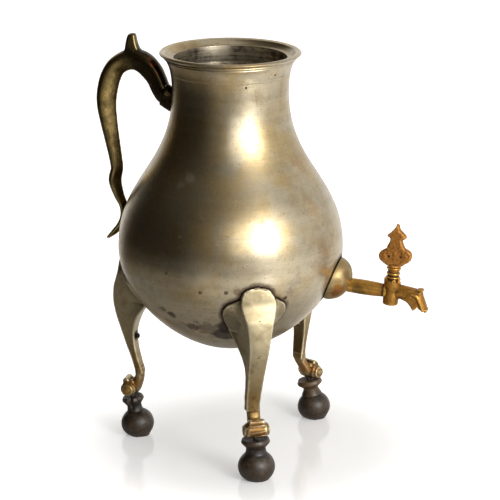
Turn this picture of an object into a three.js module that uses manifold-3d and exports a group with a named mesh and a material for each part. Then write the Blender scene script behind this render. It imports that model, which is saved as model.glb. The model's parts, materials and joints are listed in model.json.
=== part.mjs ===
// A three-legged pewter urn for coffee or tea, with a brass tap low on its belly.
// Millimetres, +Z up. The tap points along +X and the handle along -X.
import * as THREE from 'three';
import { mergeVertices } from 'three/addons/utils/BufferGeometryUtils.js';
import Module from 'manifold-3d';

const wasm = await Module();
wasm.setup();

// Gap left at every soldered, bedded or running joint
const clearance = 0.3;

// Vessel, heights one above the other from the table up
const bottomClearance = 85;
const bowlDepth = 85;
const shoulderRise = 128;
const neckRise = 14;
const rimRise = 18;
const bellyRadius = 91;
const neckRadius = 46.7;
const seamRadius = 47.8;
const lipRadius = 56.6;
const wall = 2.4;

// How far the outline runs on straight before it bends: at the belly, the neck and the bowl
const bellyPullUp = 56;
const neckPullDown = 62;
const bellyPullDown = 40;
const bottomPullOut = 43;

// Rim: an incised line round it, a rounded lip, and a ledge inside for the lid
const grooveRise = 8.2;
const grooveRadius = 50.4;
const grooveWidth = 0.8;
const grooveDepth = 0.4;
const lipRound = 1.5;
const lipWidth = 3.6;
const ledgeDrop = 4.8;
const ledgeRadius = 48.6;
const mouthRadius = 45.2;

// Strainer holes drilled through the bowl behind the tap
const strainerHoles = 6;
const strainerHoleRadius = 1.8;
const strainerRingRadius = 7;

// Handle: the middle of the casting as [out, up, half thickness], the arch measured from the
// narrowest place of the neck and the tail from the belly where the handle is soldered on it
const handleArch = [
  [10.9, -4.1, 8.5],
  [12.9, 3.2, 8.1],
  [17.2, 10.9, 8.9],
  [25.7, 18.8, 9.2],
  [35.2, 21, 8.6],
  [46.7, 15.4, 8.1],
  [52.3, 6.3, 8.5],
  [55.7, -7.8, 8.5],
  [56, -18, 8],
  [54.1, -32.3, 7],
  [51, -49.7, 5.9],
];
const handleTail = [
  [7, 43, 5.3],
  [6.4, 36.6, 5.1],
  [8.2, 27, 5.4],
  [4.8, 14, 4.1],
  [1.7, 7, 3.4],
  [0.8, 0.5, 3.1],
  [1.6, -5.5, 3.1],
  [4.8, -12, 3],
  [9.5, -17.3, 2.6],
  [15.2, -22.6, 1.3],
];
const handleTailRise = 22;
const handleBaseHalfWidth = 3;
const handleWidthShare = 0.45;
const handleSides = 10;
const handleSteps = 32;

// Thumb rest on top of the arch, measured like the arch: its foot, back edge, crest and front edge
const thumbRestWidth = 11;
const thumbRestFoot = 19;
const thumbRestBack = [[28.6, 32], [31, 37], [31.6, 41]];
const thumbRestCrest = [34.8, 44.6];
const thumbRestFront = [[37.8, 40.6], [38.6, 35], [40.6, 27]];
const thumbRestBevel = 1.4;

// Socket on the neck that the upper end of the handle is fixed on
const socketHalfHeight = 9.2;
const socketHalfWidth = 7.4;
const socketSlope = 33.6;

// Legs: three alike castings, each bent and set a little differently by hand. Splay and sway are how
// far the shaft is bent out and to its side at the foot, and the foot leans by some degrees.
const legs = [
  { name: 'front', azimuth: -63, splay: 1, sway: 0, lean: 2, leanToward: 194, foot: 'stout' },
  { name: 'rear', azimuth: 61, splay: 6, sway: -6, lean: 10, leanToward: 194, foot: 'slim' },
  { name: 'handle_side', azimuth: 180, splay: 0, sway: 0, lean: 10, leanToward: 194, foot: 'pear' },
];
const legInset = 6.3;
const kneeDrop = 10;
const kneeRimThickness = 2.6;
const panelCrown = 1.2;
const flankPull = 0.3;
const flankSpread = 0.2;
const backRound = 1;
const thinnestHalf = 1.5;

// Leg casting, up from the foot as a share of its height: face and back measured out from the
// middle of the foot, then the half width of the face and of the back
const legRows = [
  [0.165, -4, -10.4, 4.6, 5.2],
  [0.25, -1.9, -7.6, 4.9, 5.7],
  [0.35, 2.4, -4.7, 5.5, 6.3],
  [0.46, 6.7, -4.2, 6.4, 7.8],
  [0.57, 10.9, -8.6, 7.2, 12],
  [0.67, 13, -18, 8.2, 17.2],
  [0.775, 11.9, -29, 10, 24],
  [0.83, 9.6, -34, 12, 25.6],
  [0.88, 7.6, -36, 13.3, 22.5],
  [0.915, 6.9, -36, 13.2, 16],
  [0.94, 6.5, -36, 12.2, 12.6],
  [0.985, 5.6, -36, 7.5, 7.6],
  [1, 5.2, -36, 2, 2],
];
const nibShare = 0.415;
const nibRadius = 2.3;

// Curl at the end of each leg as [out, up, half thickness], down to the top of the foot
const curlPath = [
  [-7, 26, 3.4],
  [-7, 19.5, 3.6],
  [-5, 12.5, 4.4],
  [-2, 8, 5.4],
  [2.6, 7, 6],
];
const curlHalfWidth = 5.4;
const curlSides = 10;
const curlSteps = 8;
const rollOut = 1.8;
const rollRise = 7.4;
const rollRadius = 6.3;
const rollHalfLength = 8.2;
const buttonRadius = 4.6;
const buttonHalfLength = 10.6;
const crestRollOut = 3.8;
const crestRollRise = 14.2;
const crestRollRadius = 2.6;
const crestRollHalfLength = 6.6;

// Wooden feet and the pegs that hold them. The neck and the collar are measured down from the
// leg, and a chip is how deep the collar is split.
const footHeight = 34;
const footKinds = {
  stout: { collar: 11.4, neck: 7.9, ball: 15, shoulder: 9.2, ballHeight: 11.5, chip: 0 },
  slim: { collar: 10.8, neck: 6.3, ball: 13.9, shoulder: 7.8, ballHeight: 11, chip: 0 },
  pear: { collar: 9.2, neck: 6, ball: 13.7, shoulder: 7.4, ballHeight: 10.5, chip: 2.4 },
};
const ballFlattening = 0.92;
const ballBottomAngle = -75;
const ballTopAngle = 40;
const ballStep = 23;
const neckDrop = 9.8;
const collarDrop = 5.4;
const collarRound = 1.2;
const chipAngle = 91;
const chipDepth = 8;
const pegRadius = 2.2;
const pegInFoot = 12;
const pegInLeg = 6.5;

// Tap: a boss soldered on the bowl, then a pipe, a barrel with its spout, and the plug in it
const tapHeight = 148;
const bossRadius = 18.2;
const bossDepth = 15.4;
const bossWall = 2;
const bossSink = 2;
const bossDroop = 26;
const tapReach = 46.2;
const tapDrop = 8.3;
const tapSlope = 5.2;
const pipeRadius = 5.4;
const pipeSwell = 0.4;
const pipeInBoss = 4;
const waterRadius = 3;
const barrelTop = 11.6;
const barrelBottom = 10.5;
const barrelTopRadius = 6.9;
const barrelBottomRadius = 6.2;
const barrelEdge = 0.8;

// Spout, from the barrel's axis out, as [out, up, half thickness], its level end and its crest
const spoutPath = [
  [2, 0.8, 5.4],
  [10, 1, 5.6],
  [16.5, 0.2, 6],
  [21.4, -4, 6.4],
  [26.8, -14.5, 5.6],
];
const spoutHalfWidth = 5.4;
const spoutBore = [
  [0, 0, 3],
  [11, 0.4, 3],
  [17.5, -0.8, 3],
  [22, -5, 3.4],
  [27.5, -16, 3.8],
];
const spoutSteps = 12;
const spoutEnd = -11.2;
const spoutCrest = [[14, 2.5], [24, 6], [25.8, 4.8], [25.4, 0.8]];
const spoutCrestHalfWidth = 3.4;
const mouthNotch = [[22.4, -6.4], [20.3, -14.4], [28.4, -14.4]];

// Plug, its retaining washer and screw, and the stop pin in its collar
const plugTopRadius = 4.9;
const plugBottomRadius = 3.4;
const collarRadius = 5.7;
const collarHeight = 1.3;
const plugGroove = { radius: 4.7, rise: 2.6, height: 0.8 };
const plugRing = { radius: 5.5, rise: 4.2 };
const plugStem = { radius: 4.8, rise: 5 };
const stemTopRadius = 5.8;
const stemFlare = 2;
const stemTop = 20.6;
const recessRadius = 4.8;
const recessDepth = 3.1;
const washerRadius = 4.4;
const washerThickness = 0.9;
const screwHeadRadius = 2.3;
const screwHeadHeight = 0.9;
const screwHeadEdge = 0.4;
const screwRadius = 1.1;
const screwLength = 5;
const notchDepth = 3.4;
const stopAngle = -73;
const quarterTurn = 90;
const stopPinRadius = 1.1;
const stopPinRise = 10.2;
const stopPinInside = 1.6;
const stopPinProud = 0.5;

// Key, up from the top of the plug: foot, round lobe, shoulder, waist, drooping arm and finial.
// The lobes stand a little askew.
const keyThickness = 3.6;
const keyBevel = 0.5;
const keyTangHalfWidth = 3.2;
const keyTangDepth = 4;
const keyFoot = 4.8;
const keyLobe = { reach: 13.7, rise: 9, height: 14, skew: 1.3 };
const keyShoulder = { reach: 7.5, rise: 15.6 };
const keyWaist = { reach: 4.8, bulge: 0.9, rise: 23.8 };
const keyArm = { reach: 7.9, rise: 25.2, top: 27 };
const keyFinial = { neck: 2, rise: 31.6, round: 2.2, tip: 0.8 };
const keyHeight = 36;

// Fineness of the round pieces and of the outlines
const vesselSides = 40;
const roundSides = 18;
const smallSides = 12;
const chipSides = 6;
const bowlSteps = 9;
const shoulderSteps = 11;
const neckSteps = 2;
const innerSteps = 6;
const domeSteps = 6;
const cornerSteps = 3;
const searchSteps = 30;
const mergeDistance = 1e-4;

// Heights and places that follow from the sizes above
const girthHeight = bottomClearance + bowlDepth;
const neckHeight = girthHeight + shoulderRise;
const seamHeight = neckHeight + neckRise;
const rimHeight = seamHeight + rimRise;
const kneeTop = girthHeight - kneeDrop;
const legHeight = kneeTop - footHeight;
const handleTailHeight = girthHeight + handleTailRise;

const degrees = THREE.MathUtils.degToRad;

// Turns a three.js geometry into a solid that can be joined and cut
function solidOf(geometry) {
  geometry.deleteAttribute('normal');
  geometry.deleteAttribute('uv');
  const merged = mergeVertices(geometry, mergeDistance);
  const corners = merged.index.array;
  const triVerts = [];
  for (let i = 0; i < corners.length; i += 3) {
    const [a, b, c] = corners.slice(i, i + 3);
    if (a !== b && b !== c && c !== a) triVerts.push(a, b, c);
  }
  const vertProperties = merged.attributes.position.array;
  const mesh = new wasm.Mesh({ numProp: 3, vertProperties, triVerts: Uint32Array.from(triVerts) });
  return new wasm.Manifold(mesh);
}

// Turns a solid back into a three.js geometry
function geometryOf(solid) {
  const { vertProperties, triVerts } = solid.getMesh();
  const geometry = new THREE.BufferGeometry();
  geometry.setAttribute('position', new THREE.BufferAttribute(vertProperties, 3));
  geometry.setIndex(new THREE.BufferAttribute(triVerts, 1));
  geometry.computeVertexNormals();
  return geometry;
}

// Solid of revolution round the Z axis, from a profile of (radius, height) points, moved by a matrix
function turned(profile, sides, matrix = new THREE.Matrix4()) {
  const geometry = new THREE.LatheGeometry(profile, sides);
  geometry.rotateX(Math.PI / 2);
  geometry.applyMatrix4(matrix);
  return solidOf(geometry);
}

// Plain round bar from one point to another
function bar(from, to, radius, sides = smallSides) {
  const length = from.distanceTo(to);
  const geometry = new THREE.CylinderGeometry(radius, radius, length, sides);
  geometry.translate(0, length / 2, 0);
  const along = new THREE.Vector3().subVectors(to, from).normalize();
  const turn = new THREE.Quaternion().setFromUnitVectors(new THREE.Vector3(0, 1, 0), along);
  geometry.applyQuaternion(turn);
  geometry.translate(from.x, from.y, from.z);
  return solidOf(geometry);
}

// Bar across the object, along Y, at a place in the XZ plane
function crossBar(x, z, radius, halfLength, sides = smallSides) {
  return bar(new THREE.Vector3(x, -halfLength, z), new THREE.Vector3(x, halfLength, z), radius, sides);
}

// Solid through a row of rings with the same number of points
function loft(rings) {
  const count = rings[0].length;
  const points = rings.flat();
  const index = [];
  for (let i = 0; i + 1 < rings.length; i += 1) {
    for (let j = 0; j < count; j += 1) {
      const a = i * count + j;
      const b = i * count + ((j + 1) % count);
      index.push(a, b, b + count, a, b + count, a + count);
    }
  }
  for (const [ring, start] of [[rings[0], 0], [rings.at(-1), (rings.length - 1) * count]]) {
    const middle = points.length;
    points.push(ring.reduce((sum, p) => sum.add(p), new THREE.Vector3()).divideScalar(count));
    for (let j = 0; j < count; j += 1) {
      const a = start + j;
      const b = start + ((j + 1) % count);
      if (start === 0) index.push(middle, b, a);
      else index.push(middle, a, b);
    }
  }
  const geometry = new THREE.BufferGeometry().setFromPoints(points);
  geometry.setIndex(index);
  return solidOf(geometry);
}

// Oval bar along a smooth path in the XZ plane. Each station is [x, z, half thickness].
function sweep(stations, halfWidthOf, sides, steps, grow = 0) {
  const corners = stations.map(([x, z, half]) => new THREE.Vector3(x, half, z));
  const spine = new THREE.CatmullRomCurve3(corners, false, 'centripetal').getPoints(steps);
  const rings = spine.map((here, i) => {
    const before = spine[Math.max(i - 1, 0)];
    const after = spine[Math.min(i + 1, steps)];
    const along = new THREE.Vector2(after.x - before.x, after.z - before.z).normalize();
    const half = here.y + grow;
    const halfWidth = halfWidthOf(here.y) + grow;
    return Array.from({ length: sides }, (_, k) => {
      const angle = (2 * Math.PI * k) / sides;
      const out = half * Math.cos(angle);
      return new THREE.Vector3(here.x + along.y * out, halfWidth * Math.sin(angle), here.z - along.x * out);
    });
  });
  return loft(rings);
}

// Upright plate of even thickness in the XZ plane, with slightly rounded edges
function plate(shape, thickness, bevel) {
  const geometry = new THREE.ExtrudeGeometry(shape, {
    depth: thickness - 2 * bevel,
    bevelSize: bevel,
    bevelThickness: bevel,
    bevelOffset: -bevel,
    bevelSegments: 1,
    curveSegments: cornerSteps,
  });
  geometry.translate(0, 0, bevel - thickness / 2);
  geometry.rotateX(Math.PI / 2);
  return solidOf(geometry);
}

// Prism across the object, along Y, from points in the XZ plane
function prism(points, halfLength) {
  const shape = new THREE.Shape(points.map(([x, z]) => new THREE.Vector2(x, z)));
  const geometry = new THREE.ExtrudeGeometry(shape, { depth: 2 * halfLength, bevelEnabled: false });
  geometry.translate(0, 0, -halfLength);
  geometry.rotateX(Math.PI / 2);
  return solidOf(geometry);
}

const point = (radius, height) => new THREE.Vector2(radius, height);

// Outlines of the vessel, moved in by an inset for its inner face
function bowlCurve(inset) {
  return new THREE.CubicBezierCurve(
    point(0, bottomClearance + inset),
    point(bottomPullOut, bottomClearance + inset),
    point(bellyRadius - inset, girthHeight - bellyPullDown),
    point(bellyRadius - inset, girthHeight),
  );
}

function shoulderCurve(inset) {
  return new THREE.CubicBezierCurve(
    point(bellyRadius - inset, girthHeight),
    point(bellyRadius - inset, girthHeight + bellyPullUp),
    point(neckRadius - inset, neckHeight - neckPullDown),
    point(neckRadius - inset, neckHeight),
  );
}

function neckCurve(inset) {
  return new THREE.QuadraticBezierCurve(
    point(neckRadius - inset, neckHeight),
    point(neckRadius - inset, (neckHeight + seamHeight) / 2),
    point(seamRadius - inset, seamHeight),
  );
}

// Radius of the vessel's outer face at a height, found along its outline
function vesselRadius(height) {
  const curve = height < girthHeight ? bowlCurve(0) : shoulderCurve(0);
  let [low, high] = [0, 1];
  for (let i = 0; i < searchSteps; i += 1) {
    const middle = (low + high) / 2;
    if (curve.getPoint(middle).y < height) low = middle;
    else high = middle;
  }
  return curve.getPoint(low).x;
}

// The vessel's outer form as one full solid, a little larger, that trims what is soldered on it
function vesselForm(grow) {
  const profile = [
    ...bowlCurve(-grow).getPoints(bowlSteps),
    ...shoulderCurve(-grow).getPoints(shoulderSteps).slice(1),
    ...neckCurve(-grow).getPoints(neckSteps).slice(1),
    point(0, seamHeight),
  ];
  return turned(profile, vesselSides);
}

function lowerBody() {
  const outer = bowlCurve(0).getPoints(bowlSteps);
  const inner = bowlCurve(wall).getPoints(innerSteps).reverse();
  return turned([...outer, ...inner], vesselSides).subtract(strainer());
}

function upperBody() {
  const neck = neckCurve(0).getPoints(neckSteps);
  const outer = [...shoulderCurve(0).getPoints(shoulderSteps), ...neck.slice(1)];
  const inner = [...shoulderCurve(wall).getPoints(innerSteps), point(seamRadius - wall, seamHeight)];
  return turned([...outer, ...inner.reverse(), outer[0]], vesselSides);
}

function mouthRim() {
  const groove = seamHeight + grooveRise;
  const ledge = rimHeight - ledgeDrop;
  const outline = new THREE.Path();
  outline.moveTo(seamRadius, seamHeight);
  outline.lineTo(seamRadius + grooveDepth, seamHeight + grooveDepth);
  outline.quadraticCurveTo(seamRadius + 2 * grooveDepth, seamHeight + grooveRise / 2,
    grooveRadius, groove - grooveWidth / 2);
  outline.lineTo(grooveRadius - grooveDepth, groove);
  outline.lineTo(grooveRadius + grooveDepth, groove + grooveWidth / 2);
  outline.quadraticCurveTo((grooveRadius + lipRadius) / 2 - grooveDepth, groove + grooveRise / 2,
    lipRadius - grooveDepth, rimHeight - 2 * lipRound);
  outline.quadraticCurveTo(lipRadius + grooveDepth, rimHeight - lipRound / 2,
    lipRadius - lipRound, rimHeight);
  outline.quadraticCurveTo(lipRadius - lipWidth, rimHeight,
    lipRadius - lipWidth - lipRound, rimHeight - lipRound);
  outline.lineTo(ledgeRadius, ledge);
  outline.lineTo(mouthRadius, ledge);
  outline.lineTo(seamRadius - wall, seamHeight);
  const profile = outline.getPoints(cornerSteps);
  return turned([...profile, profile[0]], vesselSides);
}

// Handle, built towards +X in the plane of its scroll
function handleStations() {
  const arch = handleArch.map(([out, up, half]) => [neckRadius + out, neckHeight + up, half]);
  const bellyOut = vesselRadius(handleTailHeight);
  const tail = handleTail.map(([out, up, half]) => [bellyOut + out, handleTailHeight + up, half]);
  return [...arch, ...tail];
}

const handleHalfWidth = (half) => handleBaseHalfWidth + handleWidthShare * half;

function handleSweep(grow) {
  return sweep(handleStations(), handleHalfWidth, handleSides, handleSteps, grow);
}

function thumbRest() {
  const placed = ([out, up]) => [neckRadius + out, neckHeight + up];
  const [backFoot, backWaist, backTop] = thumbRestBack.map(placed);
  const [frontTop, frontWaist, frontFoot] = thumbRestFront.map(placed);
  const shape = new THREE.Shape();
  shape.moveTo(backFoot[0], neckHeight + thumbRestFoot);
  shape.lineTo(...backFoot);
  shape.quadraticCurveTo(...backWaist, ...backTop);
  shape.quadraticCurveTo(...placed(thumbRestCrest), ...frontTop);
  shape.quadraticCurveTo(...frontWaist, ...frontFoot);
  shape.lineTo(frontFoot[0], neckHeight + thumbRestFoot);
  return plate(shape, thumbRestWidth, thumbRestBevel);
}

function handle() {
  return handleSweep(0).add(thumbRest()).subtract(vesselForm(clearance));
}

// Short oval socket that carries the handle's upper end on the neck
function handleSocket() {
  const [out, up] = handleArch[0];
  const along = point(Math.cos(degrees(socketSlope)), Math.sin(degrees(socketSlope)));
  const end = point(neckRadius + out, neckHeight + up).addScaledVector(along, -clearance);
  const start = end.clone().addScaledVector(along, -out - wall);
  const rings = [start, end].map((middle) => Array.from({ length: handleSides }, (_, k) => {
    const angle = (2 * Math.PI * k) / handleSides;
    const across = socketHalfHeight * Math.cos(angle);
    return new THREE.Vector3(
      middle.x + along.y * across,
      socketHalfWidth * Math.sin(angle),
      middle.y - along.x * across,
    );
  }));
  return loft(rings).subtract(vesselForm(clearance)).subtract(handleSweep(clearance));
}

// Middle of a leg, out from the vessel's axis, at a share of its height from the foot up
const legMiddle = (leg, share) => bellyRadius - legInset + leg.splay * (1 - share) ** 3;

// How far a leg is bent to its side at a share of its height
const legSide = (leg, share) => leg.sway * (1 - share) ** 3;

const footReach = (leg) => legMiddle(leg, 0);

// Half of one level slice of the leg, from the middle of its face round to the middle of its back
function legHalfSlice(height, reach, face, back, faceHalf, backHalf) {
  const body = Math.sqrt(Math.max(vesselRadius(height) ** 2 - backHalf ** 2, 0));
  const rim = Math.max(reach + back + backRound, body + kneeRimThickness);
  const front = reach + face;
  const flank = new THREE.QuadraticBezierCurve(
    point(front, faceHalf),
    point(rim + (front - rim) * flankPull, faceHalf + (backHalf - faceHalf) * flankSpread),
    point(rim, backHalf),
  );
  return [
    point(front + panelCrown, 0),
    ...flank.getPoints(cornerSteps),
    point(reach + back, backHalf - backRound),
  ];
}

// Shaft of the leg as level slices, from above its curl to the top of the knee
function legShaft(leg) {
  const shares = legRows.map(([share]) => share);
  const sizes = legRows.flatMap(([, ...row]) => row);
  const outline = new THREE.CubicInterpolant(shares, sizes, sizes.length / shares.length);
  const rings = [];
  for (let i = 0; i < 2 * shares.length - 1; i += 1) {
    const share = (shares[Math.floor(i / 2)] + shares[Math.ceil(i / 2)]) / 2;
    const [face, back, faceHalf, backHalf] = outline.evaluate(share);
    const height = footHeight + share * legHeight;
    const widest = Math.max(backHalf, thinnestHalf);
    const half = legHalfSlice(height, legMiddle(leg, share), face, back, faceHalf, widest);
    const mirrored = half.slice(1).reverse().map((p) => point(p.x, -p.y));
    const side = legSide(leg, share);
    rings.push([...half, ...mirrored].map((p) => new THREE.Vector3(p.x, p.y + side, height)));
  }
  return loft(rings);
}

function legCurl(leg) {
  const reach = footReach(leg);
  const stations = curlPath.map(([out, up, half]) => [reach + out, footHeight + up, half]);
  const roll = [reach + rollOut, footHeight + rollRise];
  const crest = [reach + crestRollOut, footHeight + crestRollRise];
  return sweep(stations, () => curlHalfWidth, curlSides, curlSteps)
    .add(crossBar(...roll, rollRadius, rollHalfLength))
    .add(crossBar(...roll, buttonRadius, buttonHalfLength))
    .add(crossBar(...crest, crestRollRadius, crestRollHalfLength))
    .translate([0, leg.sway, 0]);
}

function legNib(leg) {
  const [, , back] = legRows.find(([share]) => share > nibShare);
  const middle = legMiddle(leg, nibShare) + back;
  const nib = crossBar(middle, footHeight + nibShare * legHeight, nibRadius, nibRadius);
  return nib.translate([0, legSide(leg, nibShare), 0]);
}

// Where a leg's foot hangs and how it leans, in the frame of that leg
function footFrame(leg) {
  const side = degrees(leg.leanToward - leg.azimuth);
  const axis = new THREE.Vector3(-Math.sin(side), Math.cos(side), 0);
  const matrix = new THREE.Matrix4().makeRotationAxis(axis, degrees(leg.lean));
  matrix.setPosition(footReach(leg), leg.sway, footHeight);
  return matrix;
}

// Block that lies over everything below the level z = 0 of a frame
function allBelow(matrix) {
  const size = 3 * footHeight;
  const geometry = new THREE.BoxGeometry(size, size, size);
  geometry.translate(0, 0, -size / 2);
  geometry.applyMatrix4(matrix);
  return solidOf(geometry);
}

function pegHole(leg) {
  const frame = footFrame(leg);
  const low = new THREE.Vector3(0, 0, -pegInFoot).applyMatrix4(frame);
  const high = new THREE.Vector3(0, 0, pegInLeg + clearance).applyMatrix4(frame);
  return bar(low, high, pegRadius + clearance);
}

function legCasting(leg) {
  const frame = footFrame(leg).multiply(new THREE.Matrix4().makeTranslation(0, 0, clearance));
  return legShaft(leg)
    .add(legCurl(leg))
    .add(legNib(leg))
    .subtract(vesselForm(clearance))
    .subtract(allBelow(frame))
    .subtract(pegHole(leg));
}

function footPeg(leg) {
  const frame = footFrame(leg);
  const low = new THREE.Vector3(0, 0, clearance - pegInFoot).applyMatrix4(frame);
  const high = new THREE.Vector3(0, 0, pegInLeg).applyMatrix4(frame);
  return bar(low, high, pegRadius);
}

// Split in the side of a foot's collar
function collarChip(leg, radius, depth) {
  const place = new THREE.Vector3(Math.cos(degrees(chipAngle)), Math.sin(degrees(chipAngle)), 0);
  place.multiplyScalar(radius);
  const low = place.clone().setZ(-chipDepth).applyMatrix4(footFrame(leg));
  const high = place.clone().setZ(chipDepth).applyMatrix4(footFrame(leg));
  return bar(low, high, depth, chipSides);
}

// Turned wooden foot, its top at z = 0 of its frame, cut level where it stands on the table
function foot(leg) {
  const { collar, neck, ball, shoulder, ballHeight, chip } = footKinds[leg.foot];
  const ballDrop = ballHeight - footHeight;
  const outline = new THREE.Path();
  outline.moveTo(0, ballDrop - ball * ballFlattening);
  for (let angle = ballBottomAngle; angle <= ballTopAngle; angle += ballStep) {
    const [across, up] = [Math.cos(degrees(angle)), Math.sin(degrees(angle))];
    outline.lineTo(ball * across, ballDrop + ball * ballFlattening * up);
  }
  outline.quadraticCurveTo(shoulder, (ballDrop - neckDrop) / 2 + collarRound, neck, -neckDrop);
  outline.quadraticCurveTo(neck, -(neckDrop + collarDrop) / 2, collar - collarRound, -collarDrop);
  outline.quadraticCurveTo(collar + collarRound / 2, -collarDrop / 2, collar, -collarRound);
  outline.lineTo(collar - collarRound, 0);
  outline.lineTo(pegRadius + clearance, 0);
  outline.lineTo(pegRadius + clearance, -pegInFoot);
  outline.lineTo(0, -pegInFoot);
  const table = new THREE.Matrix4().makeTranslation(footReach(leg), leg.sway, 0);
  const whole = turned(outline.getPoints(cornerSteps), roundSides, footFrame(leg));
  const level = whole.subtract(allBelow(table));
  return chip > 0 ? level.subtract(collarChip(leg, collar, chip)) : level;
}

// Frame of the tap: its origin is where the pipe's line crosses the plug's
const tapFrame = new THREE.Matrix4()
  .makeRotationY(degrees(tapSlope))
  .setPosition(vesselRadius(tapHeight) + tapReach, 0, tapHeight - tapDrop);

// Frame of the boss: its origin is on the bowl and its z axis is the boss's own axis
const bossFrame = new THREE.Matrix4()
  .makeRotationY(degrees(90 + bossDroop))
  .setPosition(vesselRadius(tapHeight) - bossSink, 0, tapHeight);

function domeProfile(radius, depth) {
  return new THREE.EllipseCurve(0, 0, radius, depth, 0, Math.PI / 2).getPoints(domeSteps);
}

// Straight bar along the pipe's line, in the vessel's frame
function pipeLine(fromX, toX, radius) {
  const from = new THREE.Vector3(fromX, 0, 0).applyMatrix4(tapFrame);
  const to = new THREE.Vector3(toX, 0, 0).applyMatrix4(tapFrame);
  return bar(from, to, radius, roundSides);
}

function tapBoss() {
  const outer = domeProfile(bossRadius, bossDepth);
  const inner = domeProfile(bossRadius - bossWall, bossDepth - bossWall).reverse();
  return turned([...outer, ...inner, outer[0]], roundSides + smallSides, bossFrame)
    .subtract(vesselForm(clearance))
    .subtract(pipeLine(-tapReach, 0, pipeRadius + pipeSwell + clearance));
}

// Six holes round a middle one, along the boss's axis
function strainer() {
  const places = [[0, 0]];
  for (let i = 0; i < strainerHoles; i += 1) {
    const angle = (2 * Math.PI * i) / strainerHoles;
    places.push([strainerRingRadius * Math.cos(angle), strainerRingRadius * Math.sin(angle)]);
  }
  return places
    .map(([x, y]) => bar(
      new THREE.Vector3(x, y, -bossRadius / 2).applyMatrix4(bossFrame),
      new THREE.Vector3(x, y, bossRadius / 2).applyMatrix4(bossFrame),
      strainerHoleRadius,
    ))
    .reduce((all, hole) => all.add(hole));
}

// Inner end of the pipe, inside the boss, measured along the pipe's line from the plug
const pipeStart = -tapReach + bossDepth - pipeInBoss;

function tapPipe() {
  const outline = new THREE.Path();
  outline.moveTo(waterRadius, pipeStart);
  outline.lineTo(pipeRadius + pipeSwell, pipeStart);
  outline.quadraticCurveTo(pipeRadius + pipeSwell, pipeStart / 2, pipeRadius, 0);
  outline.lineTo(waterRadius, 0);
  outline.closePath();
  const alongX = new THREE.Matrix4().makeRotationY(Math.PI / 2);
  const barrel = turned(barrelProfile(clearance), roundSides);
  return turned(outline.getPoints(cornerSteps), roundSides, alongX).subtract(barrel);
}

function barrelProfile(grow) {
  return [
    point(0, -barrelBottom),
    point(barrelBottomRadius + grow - barrelEdge, -barrelBottom),
    point(barrelBottomRadius + grow, barrelEdge - barrelBottom),
    point(barrelTopRadius + grow, barrelTop - barrelEdge),
    point(barrelTopRadius + grow - barrelEdge / 2, barrelTop),
    point(0, barrelTop),
  ];
}

// Radius of the tapered plug at a height
function plugRadius(height) {
  const share = (height + barrelBottom) / (barrelTop + barrelBottom);
  return plugBottomRadius + share * (plugTopRadius - plugBottomRadius);
}

// Wedge of the barrel's rim that is cut away for the stop pin's quarter turn
function stopNotch() {
  const play = Math.asin((stopPinRadius + clearance) / plugTopRadius);
  const start = degrees(stopAngle) - play;
  const end = degrees(stopAngle + quarterTurn) + play;
  const shape = new THREE.Shape();
  const outside = 2 * barrelTopRadius;
  shape.moveTo(0, 0);
  shape.lineTo(outside * Math.cos(start), outside * Math.sin(start));
  shape.absarc(0, 0, outside, start, end, false);
  shape.closePath();
  const geometry = new THREE.ExtrudeGeometry(shape, { depth: 2 * notchDepth, bevelEnabled: false });
  geometry.translate(0, 0, barrelTop - notchDepth);
  return solidOf(geometry);
}

function plugBore() {
  return turned([
    point(0, -2 * barrelBottom),
    point(recessRadius, -2 * barrelBottom),
    point(recessRadius, recessDepth - barrelBottom),
    point(plugRadius(recessDepth - barrelBottom) + clearance, recessDepth - barrelBottom),
    point(plugTopRadius + clearance, barrelTop),
    point(plugTopRadius + clearance, 2 * barrelTop),
    point(0, 2 * barrelTop),
  ], roundSides);
}

// Spout: a bent tube that ends as an open beast's mouth, cut level below
function spout() {
  const below = new THREE.Matrix4().makeTranslation(0, 0, spoutEnd);
  return sweep(spoutPath, () => spoutHalfWidth, smallSides, spoutSteps)
    .add(prism(spoutCrest, spoutCrestHalfWidth))
    .subtract(allBelow(below));
}

function tapBarrel() {
  const waterInlet = new THREE.Vector3(-2 * barrelTopRadius, 0, 0);
  return turned(barrelProfile(0), roundSides)
    .add(spout())
    .subtract(stopNotch())
    .subtract(plugBore())
    .subtract(bar(waterInlet, new THREE.Vector3(), waterRadius))
    .subtract(sweep(spoutBore, (half) => half, smallSides, spoutSteps))
    .subtract(prism(mouthNotch, 2 * spoutHalfWidth));
}

// Top of the screw's head, under the washer
const screwHeadTop = recessDepth - barrelBottom - washerThickness - 2 * clearance;

// Plug: taper, collar, groove, ring and flared stem, with the water way across it
function tapPlug() {
  const low = recessDepth - barrelBottom;
  const profile = [
    point(0, low),
    point(plugRadius(low), low),
    point(plugTopRadius, barrelTop + clearance),
    point(collarRadius, barrelTop + clearance),
    point(collarRadius, barrelTop + clearance + collarHeight),
    point(plugGroove.radius, barrelTop + plugGroove.rise),
    point(plugGroove.radius, barrelTop + plugGroove.rise + plugGroove.height),
    point(plugRing.radius, barrelTop + plugRing.rise),
    point(plugStem.radius, barrelTop + plugStem.rise),
    point(plugStem.radius, stemTop - stemFlare),
    point(stemTopRadius, stemTop),
    point(0, stemTop),
  ];
  const acrossX = new THREE.Vector3(2 * barrelTopRadius, 0, 0);
  const screwLow = new THREE.Vector3(0, 0, screwHeadTop);
  const screwHigh = new THREE.Vector3(0, 0, screwHeadTop + screwLength + clearance);
  const slot = new THREE.BoxGeometry(
    2 * (keyTangHalfWidth + clearance),
    keyThickness + 2 * clearance,
    2 * (keyTangDepth + clearance),
  );
  slot.translate(0, 0, stemTop);
  return turned(profile, roundSides)
    .subtract(bar(acrossX.clone().negate(), acrossX, waterRadius))
    .subtract(stopPinHole())
    .subtract(bar(screwLow, screwHigh, screwRadius + clearance))
    .subtract(solidOf(slot));
}

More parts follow.
